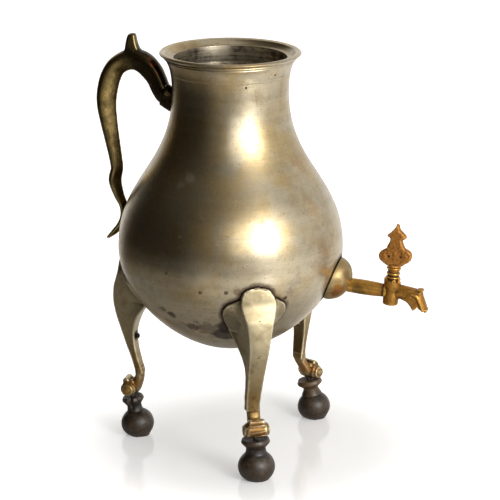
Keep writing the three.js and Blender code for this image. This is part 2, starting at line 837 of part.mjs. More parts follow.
// Radial direction of the stop pin when the tap is open
const stopDirection = new THREE.Vector3(Math.cos(degrees(stopAngle)), Math.sin(degrees(stopAngle)), 0);

function stopPinAt(radiusFrom, radiusTo, radius) {
  const base = new THREE.Vector3(0, 0, stopPinRise);
  const from = base.clone().addScaledVector(stopDirection, radiusFrom);
  const to = base.clone().addScaledVector(stopDirection, radiusTo);
  return bar(from, to, radius);
}

function stopPinHole() {
  return stopPinAt(stopPinInside - clearance, 2 * barrelTopRadius, stopPinRadius + clearance);
}

function tapStopPin() {
  return stopPinAt(stopPinInside, barrelTopRadius + stopPinProud, stopPinRadius);
}

function plugWasher() {
  const top = recessDepth - barrelBottom - clearance;
  return turned([
    point(screwRadius + clearance, top - washerThickness),
    point(washerRadius, top - washerThickness),
    point(washerRadius, top),
    point(screwRadius + clearance, top),
    point(screwRadius + clearance, top - washerThickness),
  ], roundSides);
}

function plugScrew() {
  return turned([
    point(0, screwHeadTop - screwHeadHeight),
    point(screwHeadRadius - screwHeadEdge, screwHeadTop - screwHeadHeight),
    point(screwHeadRadius, screwHeadTop - screwHeadHeight + screwHeadEdge),
    point(screwHeadRadius, screwHeadTop),
    point(screwRadius, screwHeadTop),
    point(screwRadius, screwHeadTop + screwLength),
    point(0, screwHeadTop + screwLength),
  ], smallSides);
}

// One side of the key's outline, from its foot up to beside the tip of its finial
function keySide(side) {
  const lift = side * keyLobe.skew;
  const lobeTop = keyLobe.height + lift / 2;
  const outline = new THREE.Path();
  outline.moveTo(keyTangHalfWidth, 0);
  outline.lineTo(keyFoot, 0);
  outline.quadraticCurveTo(keyLobe.reach, lift, keyLobe.reach, keyLobe.rise + lift);
  outline.quadraticCurveTo(keyLobe.reach, lobeTop, keyShoulder.reach, keyShoulder.rise);
  const middleRise = (keyShoulder.rise + keyWaist.rise) / 2;
  outline.quadraticCurveTo(keyWaist.reach + keyWaist.bulge, middleRise, keyWaist.reach, keyWaist.rise);
  outline.lineTo(keyArm.reach, keyArm.rise);
  outline.lineTo(keyArm.reach, (keyArm.rise + keyArm.top) / 2);
  outline.quadraticCurveTo(keyFinial.neck, keyArm.top + keyFinial.round, keyFinial.neck, keyFinial.rise);
  outline.quadraticCurveTo(keyFinial.round, keyHeight - keyFinial.tip, keyFinial.tip, keyHeight);
  return outline.getPoints(cornerSteps).map((p) => point(side * p.x, stemTop + clearance + p.y));
}

// Key: a flat casting with two round lobes, a waist, a pair of arms and a finial
function tapKey() {
  const tang = [
    point(-keyTangHalfWidth, stemTop - keyTangDepth),
    point(keyTangHalfWidth, stemTop - keyTangDepth),
  ];
  const shape = new THREE.Shape([...keySide(1), ...keySide(-1).reverse(), ...tang]);
  return plate(shape, keyThickness, keyBevel);
}

const finishes = {
  pewter: { color: 0x8f8468, roughness: 0.38, metalness: 1 },
  castPewter: { color: 0x9c8f6c, roughness: 0.42, metalness: 1 },
  darkBronze: { color: 0x6b5a3f, roughness: 0.4, metalness: 1 },
  brass: { color: 0x9a7232, roughness: 0.4, metalness: 1 },
  roughBrass: { color: 0x966a2c, roughness: 0.55, metalness: 1 },
  wood: { color: 0x33291f, roughness: 0.55, metalness: 0 },
  iron: { color: 0x4a4642, roughness: 0.6, metalness: 1 },
};

function piece(name, solid, finish) {
  const mesh = new THREE.Mesh(geometryOf(solid), new THREE.MeshStandardMaterial(finishes[finish]));
  mesh.name = name;
  return mesh;
}

const urn = new THREE.Group();

const vessel = new THREE.Group();
vessel.add(
  piece('lower_body', lowerBody(), 'pewter'),
  piece('upper_body', upperBody(), 'pewter'),
  piece('mouth_rim', mouthRim(), 'pewter'),
  piece('tap_boss', tapBoss(), 'castPewter'),
);
urn.add(vessel);

const handleGroup = new THREE.Group();
handleGroup.rotation.z = Math.PI;
handleGroup.add(
  piece('handle', handle(), 'darkBronze'),
  piece('handle_socket', handleSocket(), 'darkBronze'),
);
urn.add(handleGroup);

for (const leg of legs) {
  const group = new THREE.Group();
  group.rotation.z = degrees(leg.azimuth);
  group.add(
    piece(`leg_${leg.name}`, legCasting(leg), 'castPewter'),
    piece(`foot_${leg.name}`, foot(leg), 'wood'),
    piece(`foot_peg_${leg.name}`, footPeg(leg), 'iron'),
  );
  urn.add(group);
}

const tap = new THREE.Group();
tap.applyMatrix4(tapFrame);
tap.add(
  piece('tap_pipe', tapPipe(), 'brass'),
  piece('tap_barrel', tapBarrel(), 'brass'),
  piece('tap_plug', tapPlug(), 'brass'),
  piece('tap_key', tapKey(), 'roughBrass'),
  piece('tap_stop_pin', tapStopPin(), 'brass'),
  piece('plug_washer', plugWasher(), 'brass'),
  piece('plug_screw', plugScrew(), 'iron'),
);
urn.add(tap);

// The origin is on the table, under the middle of the whole urn
urn.updateMatrixWorld(true);
const middle = new THREE.Box3().setFromObject(urn, true).getCenter(new THREE.Vector3());
urn.position.set(-middle.x, -middle.y, 0);

export default urn;
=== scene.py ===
"""Looks of a three-legged pewter urn with a brass tap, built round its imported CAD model.

The classes hold lengths in millimetres in the vessel's own frame: its axis stands upright through
the origin, the tap points along +X and the handle along -X. Finished meshes move into the part's
frame.
"""

import json
import logging
import math
from collections.abc import Callable, Sequence
from dataclasses import dataclass
from enum import Enum
from functools import cached_property

import bmesh
import bpy
import numpy as np
from mathutils import Matrix, Vector, noise
from mathutils.bvhtree import BVHTree

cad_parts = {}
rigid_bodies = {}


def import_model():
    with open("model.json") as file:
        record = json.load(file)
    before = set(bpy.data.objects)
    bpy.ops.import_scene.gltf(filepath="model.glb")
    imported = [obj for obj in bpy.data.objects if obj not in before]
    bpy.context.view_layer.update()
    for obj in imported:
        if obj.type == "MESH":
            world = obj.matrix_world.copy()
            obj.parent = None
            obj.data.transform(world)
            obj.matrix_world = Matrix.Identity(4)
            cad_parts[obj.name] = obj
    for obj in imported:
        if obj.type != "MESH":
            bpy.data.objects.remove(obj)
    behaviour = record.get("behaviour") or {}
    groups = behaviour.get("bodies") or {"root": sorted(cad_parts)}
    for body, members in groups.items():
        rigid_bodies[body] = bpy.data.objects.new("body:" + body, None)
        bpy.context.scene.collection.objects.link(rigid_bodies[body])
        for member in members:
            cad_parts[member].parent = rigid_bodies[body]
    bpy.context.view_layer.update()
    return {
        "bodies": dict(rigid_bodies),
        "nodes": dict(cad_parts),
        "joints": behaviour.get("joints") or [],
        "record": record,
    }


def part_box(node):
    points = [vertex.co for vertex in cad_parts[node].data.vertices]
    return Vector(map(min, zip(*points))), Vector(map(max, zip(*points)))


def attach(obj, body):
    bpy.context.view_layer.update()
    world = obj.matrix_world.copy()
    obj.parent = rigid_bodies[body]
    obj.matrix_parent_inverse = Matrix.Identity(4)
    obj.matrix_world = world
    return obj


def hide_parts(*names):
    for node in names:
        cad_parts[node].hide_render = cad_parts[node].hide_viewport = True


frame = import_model()

LOG = logging.getLogger("urn")

Pair = tuple[float, float]
Triple = tuple[float, float, float]
Row = tuple[float, ...]
Material = bpy.types.Material
MM = 0.001
CLEARANCE = 0.3
MERGE = 1e-4  # Points nearer than this are one.
RELIEF_ROUNDS = 6  # How many neighbours away a point's surroundings reach.
CONTACT_REACH = 12.0  # The largest gap to another piece that is stored.
BOWL_LOW, BOWL_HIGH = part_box("lower_body")
VESSEL_PLACE = Matrix.Translation((*((BOWL_LOW + BOWL_HIGH) / 2).xy, 0)) @ Matrix.Scale(MM, 4)
UP = Vector((0, 0, 1))


class Body(Enum):
    """The CAD bodies that pieces ride on."""

    URN = "urn"
    PLUG = "plug"


class Slot(Enum):
    """The record's material slots."""

    PEWTER = "pewter"
    CAST_PEWTER = "cast_pewter"
    DARK_BRONZE = "dark_bronze"
    BRASS = "brass"
    WOOD = "wood"
    IRON = "iron"


def tint(code: str) -> tuple[float, float, float, float]:
    """Turns a written colour into the linear one that the shaders take.

    Args:
        code: Six hexadecimal digits, red, green and blue.

    Returns:
        The linear colour with full opacity.
    """
    parts = [int(code[i:i + 2], 16) / 255 for i in (0, 2, 4)]
    return (*(c / 12.92 if c <= 0.04045 else ((c + 0.055) / 1.055) ** 2.4 for c in parts), 1.0)


def put(name: str, data: bpy.types.ID) -> bpy.types.Object:
    """Makes an object and puts it into the scene.

    Args:
        name: The object's name.
        data: Its mesh, lamp or camera.

    Returns:
        The object.
    """
    thing = bpy.data.objects.new(name, data)
    bpy.context.scene.collection.objects.link(thing)
    return thing


def posed(spot: Sequence[float], degrees: float = 0.0, axis: str | Vector = "Y") -> Matrix:
    """Returns the matrix that turns round an axis and then moves to a spot."""
    return Matrix.Translation(spot) @ Matrix.Rotation(math.radians(degrees), 4, axis)


def spoke(degrees: float, radius: float = 1.0) -> Pair:
    """Returns the point of a circle at an angle."""
    return radius * math.cos(math.radians(degrees)), radius * math.sin(math.radians(degrees))


def arc(centre: Pair, radii: Pair, start: float, end: float, steps: int) -> list[Pair]:
    """Goes round an ellipse.

    Args:
        centre: The ellipse's middle.
        radii: Its radii along the first and the second direction.
        start: The angle of the first point, in degrees.
        end: The angle of the last point.
        steps: How many stretches the arc is cut into.

    Returns:
        The points of the arc.
    """
    angles = [math.radians(start + (end - start) * i / steps) for i in range(steps + 1)]
    return [(centre[0] + radii[0] * math.cos(a), centre[1] + radii[1] * math.sin(a))
            for a in angles]


def traced(*rows: Row) -> list[Pair]:
    """Follows an outline, each row going on from the last point.

    Args:
        rows: Either a point, which is reached straight, or one or two handles, a point and a number
            of stretches, for a curve that leans towards the handles on its way to the point.

    Returns:
        The points of the outline.
    """
    points: list[Pair] = []
    for row in rows:
        if len(row) == 2:
            points.append(row)
            continue
        *flat, steps = row
        spots = [points[-1], *zip(flat[::2], flat[1::2])]
        last = len(spots) - 1
        for t in (i / steps for i in range(1, steps + 1)):
            weights = [math.comb(last, k) * t**k * (1 - t) ** (last - k) for k in range(last + 1)]
            points.append(tuple(sum(w * s[k] for w, s in zip(weights, spots)) for k in (0, 1)))
    return points


def rounded(loop: Sequence[Pair]) -> list[Pair]:
    """Rounds a closed loop by cutting its corners off twice.

    Args:
        loop: The points of the loop.

    Returns:
        The points of the rounded loop.
    """
    for _ in range(2):
        loop = [(a * x0 + (1 - a) * x1, a * y0 + (1 - a) * y1)
                for (x0, y0), (x1, y1) in zip(loop, [*loop[1:], loop[0]]) for a in (0.75, 0.25)]
    return loop


def cubic(t: float, start: Vector | np.ndarray, leave: Vector | np.ndarray,
          end: Vector | np.ndarray, reach: Vector | np.ndarray) -> Vector | np.ndarray:
    """Goes part of the way from a start to an end, along a curve.

    Args:
        t: The part of the way, from 0 to 1.
        start: Where the curve starts.
        leave: How fast and where to it leaves the start.
        end: Where it ends.
        reach: How fast and from where it reaches the end.

    Returns:
        The place on the curve.
    """
    return ((2 * t**3 - 3 * t**2 + 1) * start + (t**3 - 2 * t**2 + t) * leave
            + (3 * t**2 - 2 * t**3) * end + (t**3 - t**2) * reach)


def smooth_path(stations: Sequence[Triple], steps: int) -> list[Vector]:
    """Runs a smooth curve through stations, in the way of the CAD's own sweeps.

    Args:
        stations: Places on the curve, with the half thickness as third number.
        steps: How many stretches the curve is cut into.

    Returns:
        The points along the curve, its ends included.
    """
    spots = [Vector(s) for s in stations]
    spots = [2 * spots[0] - spots[1], *spots, 2 * spots[-1] - spots[-2]]
    curve = []
    for i in range(steps + 1):
        where = i / steps * (len(stations) - 1)
        k = min(int(where), len(stations) - 2)
        t = where - k
        a, b, c, d = spots[k:k + 4]
        before, along, after = ((q - p).length ** 0.5 for p, q in ((a, b), (b, c), (c, d)))
        leave = ((b - a) / before - (c - a) / (before + along) + (c - b) / along) * along
        reach = ((c - b) / along - (d - b) / (along + after) + (d - c) / after) * along
        curve.append(cubic(t, b, leave, c, reach))
    return curve


@dataclass
class Form:
    """Closed surfaces in millimetres, kept as points and faces."""

    points: list[Vector]
    faces: list[tuple[int, ...]]

    @classmethod
    def lofted(cls, rings: Sequence[Sequence[Vector]], capped: bool = True) -> "Form":
        """Skins a row of rings with the same number of points.

        Args:
            rings: The rings, one after the other.
            capped: True to close both ends, False where the ends close by themselves.

        Returns:
            The skinned form.
        """
        count = len(rings[0])
        last = (len(rings) - 1) * count
        faces = [(i + j, i + (j + 1) % count, i + (j + 1) % count + count, i + j + count)
                 for i in range(0, last, count) for j in range(count)]
        if capped:
            faces += [tuple(range(count))[::-1], tuple(range(last, last + count))]
        return cls([p for ring in rings for p in ring], faces)

    @classmethod
    def turned(cls, profile: Sequence[Pair], sides: int, closed: bool = False) -> "Form":
        """Revolves a profile of radius and height round the Z axis.

        Args:
            profile: The profile's points, from axis to axis unless it is closed.
            sides: How many sides the form has.
            closed: True where the profile is a loop clear of the axis.

        Returns:
            The turned form.
        """
        loop = [*profile, profile[0]] if closed else profile
        angles = [2 * math.pi * k / sides for k in range(sides)]
        return cls.lofted([[Vector((r * math.cos(a), r * math.sin(a), z)) for a in angles]
                           for r, z in loop], capped=False)

    @classmethod
    def swept(cls, stations: Sequence[Triple], sides: int, steps: int, wide: float = 0.0,
              share: float = 0.0, power: float = 1.0, egg: float = 0.0) -> "Form":
        """Sweeps an oval along a smooth path in the XZ plane.

        Args:
            stations: The path as x, z and half thickness.
            sides: How many sides the oval has.
            steps: How many stretches the path is cut into.
            wide: Its half width across the plane.
            share: The share of the half thickness that comes on top of it.
            power: Below 1 the oval gets squarer.
            egg: How much fuller the oval is on the side that lies to the path's left.

        Returns:
            The swept form.
        """
        spine = smooth_path(stations, steps)
        oval = []
        for k in range(sides):
            cos, sin = math.cos(2 * math.pi * k / sides), math.sin(2 * math.pi * k / sides)
            oval.append((math.copysign(abs(cos) ** power, cos),
                         math.copysign(abs(sin) ** power, sin) * (1 - egg * cos)))
        rings = []
        for i, here in enumerate(spine):
            before, after = spine[max(i - 1, 0)], spine[min(i + 1, steps)]
            along = Vector((after.x - before.x, after.y - before.y)).normalized() * here.z
            half = wide + share * here.z
            rings.append([Vector((here.x + along.y * out, half * side, here.y - along.x * out))
                          for out, side in oval])
        return cls.lofted(rings)

    @classmethod
    def prism(cls, outline: Sequence[Pair], half_length: float) -> "Form":
        """Extrudes an outline of the XZ plane along Y, the same way to both sides."""
        return cls.lofted([[Vector((x, y, z)) for x, z in outline]
                           for y in (-half_length, half_length)])

    @classmethod
    def block(cls, low: Pair, high: Pair, half_length: float) -> "Form":
        """Makes a box from two corners in the XZ plane and its half length along Y."""
        return cls.prism([low, (high[0], low[1]), high, (low[0], high[1])], half_length)

    @classmethod
    def pillow(cls, loop: Sequence[Pair], half_width: float, rounding: float,
               levels: int) -> "Form":
        """Makes a plate in the XZ plane whose edges are rounded over to both sides.

        Args:
            loop: The plate's outline, closed.
            half_width: Half of its greatest thickness.
            rounding: How far its faces are drawn in from the outline.
            levels: How many layers the rounding is made of.

        Returns:
            The layers, which lie in each other.
        """
        before, after = [loop[-1], *loop[:-1]], [*loop[1:], loop[0]]
        area = sum(x0 * y1 - x1 * y0 for (x0, y0), (x1, y1) in zip(loop, after))
        edge, thinnest = 0.43 * math.pi, 0.18
        layers = []
        for level in range(levels):
            angle = edge * level / (levels - 1)
            inset = math.copysign(rounding * (1 - math.cos(angle)), area)
            spots = []
            for last, here, following in zip(before, loop, after):
                way = Vector((following[0] - last[0], following[1] - last[1])).normalized() * inset
                spots.append((here[0] - way.y, here[1] + way.x))
            layers.append(cls.prism(spots, half_width * max(math.sin(angle), thinnest)))
        return layers[0].with_also(*layers[1:])

    @classmethod
    def bar(cls, start: Triple, end: Triple, radius: float, sides: int,
            rounding: float = 0.0) -> "Form":
        """Makes a round bar between two points.

        Args:
            start: Where the bar starts.
            end: Where it ends.
            radius: Its radius.
            sides: How many sides it has.
            rounding: How far its end edges are rounded.

        Returns:
            The bar.
        """
        way = Vector(end) - Vector(start)
        middle, radii = radius - rounding, (rounding, rounding)
        profile = [(0, 0), *arc((middle, rounding), radii, -90, 0, 6),
                   *arc((middle, way.length - rounding), radii, 0, 90, 6), (0, way.length)]
        turn = UP.rotation_difference(way).to_matrix().to_4x4()
        return cls.turned(profile, sides).moved(Matrix.Translation(start) @ turn)

    def shifted(self, rule: Callable[[Vector], Vector]) -> "Form":
        """Returns the form with each point moved by a rule."""
        return Form([rule(p) for p in self.points], list(self.faces))

    def moved(self, matrix: Matrix) -> "Form":
        """Returns the form moved by a matrix."""
        return self.shifted(lambda p: matrix @ p)

    def with_also(self, *others: "Form") -> "Form":
        """Joins this form with others.

        Args:
            others: The other forms, which may lie in this one and in each other.

        Returns:
            One form that holds them all.
        """
        points, faces = list(self.points), list(self.faces)
        for other in others:
            faces += [tuple(i + len(points) for i in face) for face in other.faces]
            points += other.points
        return Form(points, faces)

    def object(self, name: str) -> bpy.types.Object:
        """Makes an object of the form, with its poles merged and its faces turned out.

        Args:
            name: The object's name.

        Returns:
            The object, still in millimetres.
        """
        mesh = bpy.data.meshes.new(name)
        mesh.from_pydata([tuple(p) for p in self.points], [], self.faces)
        work = bmesh.new()
        work.from_mesh(mesh)
        bmesh.ops.remove_doubles(work, verts=work.verts, dist=MERGE)
        bmesh.ops.recalc_face_normals(work, faces=work.faces)
        work.to_mesh(mesh)
        work.free()
        return put(name, mesh)


def relief_of(mesh: bpy.types.Mesh) -> np.ndarray:
    """Measures how far each point of a mesh stands out of its surroundings.

    Args:
        mesh: The mesh, in millimetres.

    Returns:
        A height in millimetres for each vertex, positive on ridges and negative in hollows.
    """
    count = len(mesh.vertices)
    spots, normals = np.zeros((count, 3)), np.zeros((count, 3))
    pairs = np.zeros((len(mesh.edges), 2), int)
    mesh.vertices.foreach_get("co", spots.ravel())
    mesh.vertices.foreach_get("normal", normals.ravel())
    mesh.edges.foreach_get("vertices", pairs.ravel())
    ends, others = pairs.ravel(), pairs[:, ::-1].ravel()
    degree = np.maximum(np.bincount(ends, minlength=count), 1)[:, None]
    soft = spots
    for _ in range(RELIEF_ROUNDS):
        total = [np.bincount(ends, weights=soft[others, k], minlength=count) for k in range(3)]
        soft = np.stack(total, 1) / degree
    return ((spots - soft) * normals).sum(1)


def mark_contacts(thing: bpy.types.Object, others: Sequence[bpy.types.Object]) -> None:
    """Stores for each point of an object how far the nearest other object is, in millimetres.

    Args:
        thing: The object whose points are marked.
        others: The pieces that stand on it.
    """
    distances = [CONTACT_REACH] * len(thing.data.vertices)
    for other in others:
        tree = BVHTree.FromObject(other, bpy.context.evaluated_depsgraph_get())
        for i, vertex in enumerate(thing.data.vertices):
            gap = tree.find_nearest(vertex.co, CONTACT_REACH * MM)[3]
            if gap is not None:
                distances[i] = min(distances[i], gap / MM)
    contact = thing.data.attributes.new("contact", "FLOAT", "POINT")
    contact.data.foreach_set("value", distances)


@dataclass
class Piece:
    """One visible piece: its form, how it is cast and cut, and what it stands for."""

    name: str
    form: Form
    replaces: tuple[str, ...]
    slot: Slot
    body: Body = Body.URN
    cuts: tuple[Form, ...] = ()
    voxel: float = 0.0
    soften: int = 0
    sharp: float = 40.0
    grain: Pair = (0.0, 1.0)

    def build(self, material: Material, place: Matrix = Matrix()) -> bpy.types.Object:
        """Makes the piece's object and hands it to the frame.

        Args:
            material: The finish that it gets.
            place: The sub-assembly's place in the vessel's frame.

        Returns:
            The finished object.
        """
        thing = self.form.object(self.name)
        if self.voxel:
            remesh = thing.modifiers.new("cast", "REMESH")
            remesh.mode = "VOXEL"
            remesh.voxel_size = self.voxel * 1.0
        if self.soften:
            soft = thing.modifiers.new("soften", "SMOOTH")
            soft.factor, soft.iterations = 0.5, self.soften
        tools = [cut.object(f"{self.name}_cut") for cut in self.cuts]
        for tool in tools:
            cutting = thing.modifiers.new("cut", "BOOLEAN")
            cutting.operation, cutting.solver, cutting.object = "DIFFERENCE", "MANIFOLD", tool
        evaluated = thing.evaluated_get(bpy.context.evaluated_depsgraph_get())
        mesh = bpy.data.meshes.new_from_object(evaluated)
        thing.modifiers.clear()
        thing.data = mesh
        for tool in tools:
            bpy.data.objects.remove(tool)
        if self.grain[0]:
            self._roughen(mesh)
        relief = mesh.attributes.new("relief", "FLOAT", "POINT")
        relief.data.foreach_set("value", relief_of(mesh).astype(np.float32))
        mesh.transform(VESSEL_PLACE @ place)
        mesh.shade_smooth()
        mesh.set_sharp_from_angle(angle=math.radians(self.sharp))
        mesh.materials.clear()
        mesh.materials.append(material)
        mesh.update()
        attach(thing, self.body.value)
        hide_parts(*self.replaces)
        LOG.info("%s: %d faces for %s", self.name, len(mesh.polygons), ", ".join(self.replaces))
        return thing

    def _roughen(self, mesh: bpy.types.Mesh) -> None:
        """Moves the points of a mesh along their normals by a smooth random amount.

        Args:
            mesh: The mesh, in millimetres.
        """
        amount, size = self.grain
        shifts = [v.normal * (noise.noise(v.co / size) * amount) for v in mesh.vertices]
        for vertex, shift in zip(mesh.vertices, shifts):
            vertex.co += shift


def _operator(operation: str, swapped: bool = False) -> Callable[..., "Value"]:
    """Makes a method of Value that adds a Math node.

    Args:
        operation: What the node does.
        swapped: True where the other term stands on the left.

    Returns:
        The method, which gives the node's result.
    """
    def method(value: "Value", *others: "Value | float") -> "Value":
        """Adds the node on the value and the other terms."""
        terms = (*others, value) if swapped else (value, *others)
        return value.look.node("ShaderNodeMath", {"operation": operation}, dict(enumerate(terms)))

    return method


class Value:
    """A number socket that Python's operators work on."""

    def __init__(self, look: "Look", socket: bpy.types.NodeSocket) -> None:
        """Keeps the look and its socket."""
        self.look = look
        self.socket = socket

    __add__ = __radd__ = _operator("ADD")
    __mul__ = __rmul__ = _operator("MULTIPLY")
    __sub__, __rsub__ = _operator("SUBTRACT"), _operator("SUBTRACT", swapped=True)
    __truediv__ = _operator("DIVIDE")
    __pow__ = _operator("POWER")
    __abs__ = _operator("ABSOLUTE")
    least, most = _operator("MINIMUM"), _operator("MAXIMUM")

    def step(self, low: float, high: float) -> "Value":
        """Rises smoothly from 0 at low to 1 at high, or falls where low is above high.

        Args:
            low: Where the result is 0.
            high: Where the result is 1.

        Returns:
            The share between them.
        """
        rises = low < high
        return self.look.node("ShaderNodeMapRange", {"interpolation_type": "SMOOTHSTEP"}, {
            "Value": self, "From Min": min(low, high), "From Max": max(low, high),
            "To Min": float(not rises), "To Max": float(rises)})


Colour = Value | tuple[float, float, float, float]


class Look:
    """One node tree, with the few kinds of node that the finishes use."""

    def __init__(self, name: str, world: bool = False) -> None:
        """Makes a new material of that name, or a new world.

        Args:
            name: The material's or world's name.
            world: True for a world.
        """
        self.owner = (bpy.data.worlds if world else bpy.data.materials).new(name)
        self.owner.use_nodes = True
        self.tree = self.owner.node_tree
        self.surface = self.tree.nodes["Background" if world else "Principled BSDF"]

    def node(self, kind: str, settings: dict | None = None, inputs: dict | None = None,
             output: int | str = 0) -> Value:
        """Adds a node.

        Args:
            kind: The node's type.
            settings: What is set on the node first.
            inputs: Values or links for its sockets, by name or number.
            output: Which of its outputs to return.

        Returns:
            That output.
        """
        made = self.tree.nodes.new(kind)
        for key, value in (settings or {}).items():
            setattr(made, key, value)
        for key, value in (inputs or {}).items():
            self.plug(made.inputs[key], value)
        return Value(self, made.outputs[output])

    def plug(self, socket: bpy.types.NodeSocket, value: Value | float | Sequence[float]) -> None:
        """Links a socket to a result, or sets its plain value.

        Args:
            socket: The socket.
            value: The result or the plain value.
        """
        if isinstance(value, Value):
            self.tree.links.new(value.socket, socket)
        else:
            socket.default_value = value

    def vector(self, operation: str, first: Value, second: Triple, output: int | str = 0) -> Value:
        """Adds a Vector Math node and returns its result."""
        return self.node("ShaderNodeVectorMath", {"operation": operation},
                         {0: first, 1: second}, output)

    def place(self) -> Value:
        """Adds the nodes that tell where on the part a point lies.

        Returns:
            The place in millimetres from the foot of the vessel's axis.
        """
        spot = self.node("ShaderNodeTexCoord", output="Object")
        moved = self.vector("SUBTRACT", spot, tuple(VESSEL_PLACE.translation))
        return self.vector("MULTIPLY", moved, (1 / MM, 1 / MM, 1 / MM))

    def parts(self, vector: Value) -> tuple[Value, Value, Value]:
        """Takes a place apart.

        Args:
            vector: The place.

        Returns:
            Its parts along X, Y and Z.
        """
        first = self.node("ShaderNodeSeparateXYZ", inputs={0: vector})
        outputs = first.socket.node.outputs
        return first, Value(self, outputs[1]), Value(self, outputs[2])

    def joined(self, x: Value | float, y: Value | float, z: Value | float) -> Value:
        """Returns a place made of three parts."""
        return self.node("ShaderNodeCombineXYZ", inputs={0: x, 1: y, 2: z})

    def shade(self, red: Value, green: Value, blue: Value) -> Value:
        """Returns a colour made of three levels."""
        return self.node("ShaderNodeCombineColor", inputs={0: red, 1: green, 2: blue})

    def ray(self, kind: str) -> Value:
        """Returns 1 for one kind of ray and 0 for the others."""
        return self.node("ShaderNodeLightPath", output=f"Is {kind} Ray")

    def measured(self, name: str) -> Value:
        """Returns what the mesh stores for its points under a name, in millimetres."""
        return self.node("ShaderNodeAttribute", {"attribute_name": name}, output="Fac")

    def cloud(self, place: Value, size: float, detail: float = 3.0, roughness: float = 0.55,
              distortion: float = 0.0) -> Value:
        """Returns a smooth random value between 0 and 1.

        Args:
            place: Where it is read.
            size: The size of its patches, in millimetres.
            detail: How many finer layers it has.
            roughness: How strong the finer layers are.
            distortion: How far the patches are twisted.

        Returns:
            The value.
        """
        return self.node("ShaderNodeTexNoise", None, {
            "Vector": place, "Scale": 1 / size, "Detail": detail, "Roughness": roughness,
            "Distortion": distortion})

    def dots(self, place: Value, size: float, radius: float, share: float) -> Value:
        """Returns small round spots, 1 in their middle.

        Args:
            place: Where they are read.
            size: The grid that they lie in, in millimetres.
            radius: Their radius as a share of the grid.
            share: The share of the grid's cells that has one.

        Returns:
            The strength of the spot at the place.
        """
        near = self.node("ShaderNodeTexVoronoi", None, {"Vector": place, "Scale": 1 / size})
        cell = Value(self, near.socket.node.outputs["Color"])
        chosen = self.node("ShaderNodeSeparateColor", inputs={0: cell})
        return near.step(radius, radius * 0.3) * chosen.step(share, share - 0.02)

    def near(self, place: Value, spot: Triple, radius: float, soft: float) -> Value:
        """Returns 1 at a spot, falling to 0 at a radius from it."""
        return self.vector("DISTANCE", place, spot, "Value").step(radius, radius * soft)

    def mix(self, share: Value | float, first: Colour, second: Colour) -> Value:
        """Mixes two colours by the share of the second."""
        return self.node("ShaderNodeMix", {"data_type": "RGBA"}, {0: share, 6: first, 7: second}, 2)

    def paint(self, ground: Colour, *layers: tuple[Value | float, str]) -> Value:
        """Lays colours over a ground, one after the other.

        Args:
            ground: The colour under them.
            layers: How much each covers, and its colour as written.

        Returns:
            The painted colour.
        """
        for share, code in layers:
            ground = self.mix(share, ground, tint(code))
        return ground

    def bump(self, height: Value, strength: float) -> Value:
        """Turns heights in millimetres into a normal."""
        return self.node("ShaderNodeBump", None, {
            "Height": height, "Strength": strength, "Distance": MM})

    def dress(self, **sockets: Value | float | Sequence[float]) -> bpy.types.ID:
        """Sets the surface's sockets.

        Args:
            sockets: What goes to each, its name written with underscores for spaces.

        Returns:
            The finished material or world.
        """
        for name, value in sockets.items():
            self.plug(self.surface.inputs[name.replace("_", " ")], value)
        return self.owner


@dataclass(frozen=True)
class ColourSpot:
    """A spot of colour, stain and painted light alike: its middle, radius, strength, how frayed it
    is, and its colour.
    """

    x: float
    y: float
    z: float
    radius: float
    strength: float
    fray: float
    colour: str

    def share(self, look: Look, place: Value, mottle: Value) -> Value:
        """Returns how strongly the spot colours a place.

        Args:
            look: The node tree.
            place: The place, in millimetres.
            mottle: A fine random value that frays its edge.

        Returns:
            A share from 0 to its strength.
        """
        spot = (self.x, self.y, self.z)
        whole = look.near(place, spot, self.radius, 0.1) + (mottle - 0.5) * self.fray * 3
        soft = look.near(place, spot, self.radius * 1.5, 0.6)
        return whole.step(0.14, 0.62) * soft * self.strength


def colour_spots(*rows: tuple[float | str, ...]) -> tuple[ColourSpot, ...]:
    """Makes a spot of colour of each row."""
    return tuple(ColourSpot(*row) for row in rows)


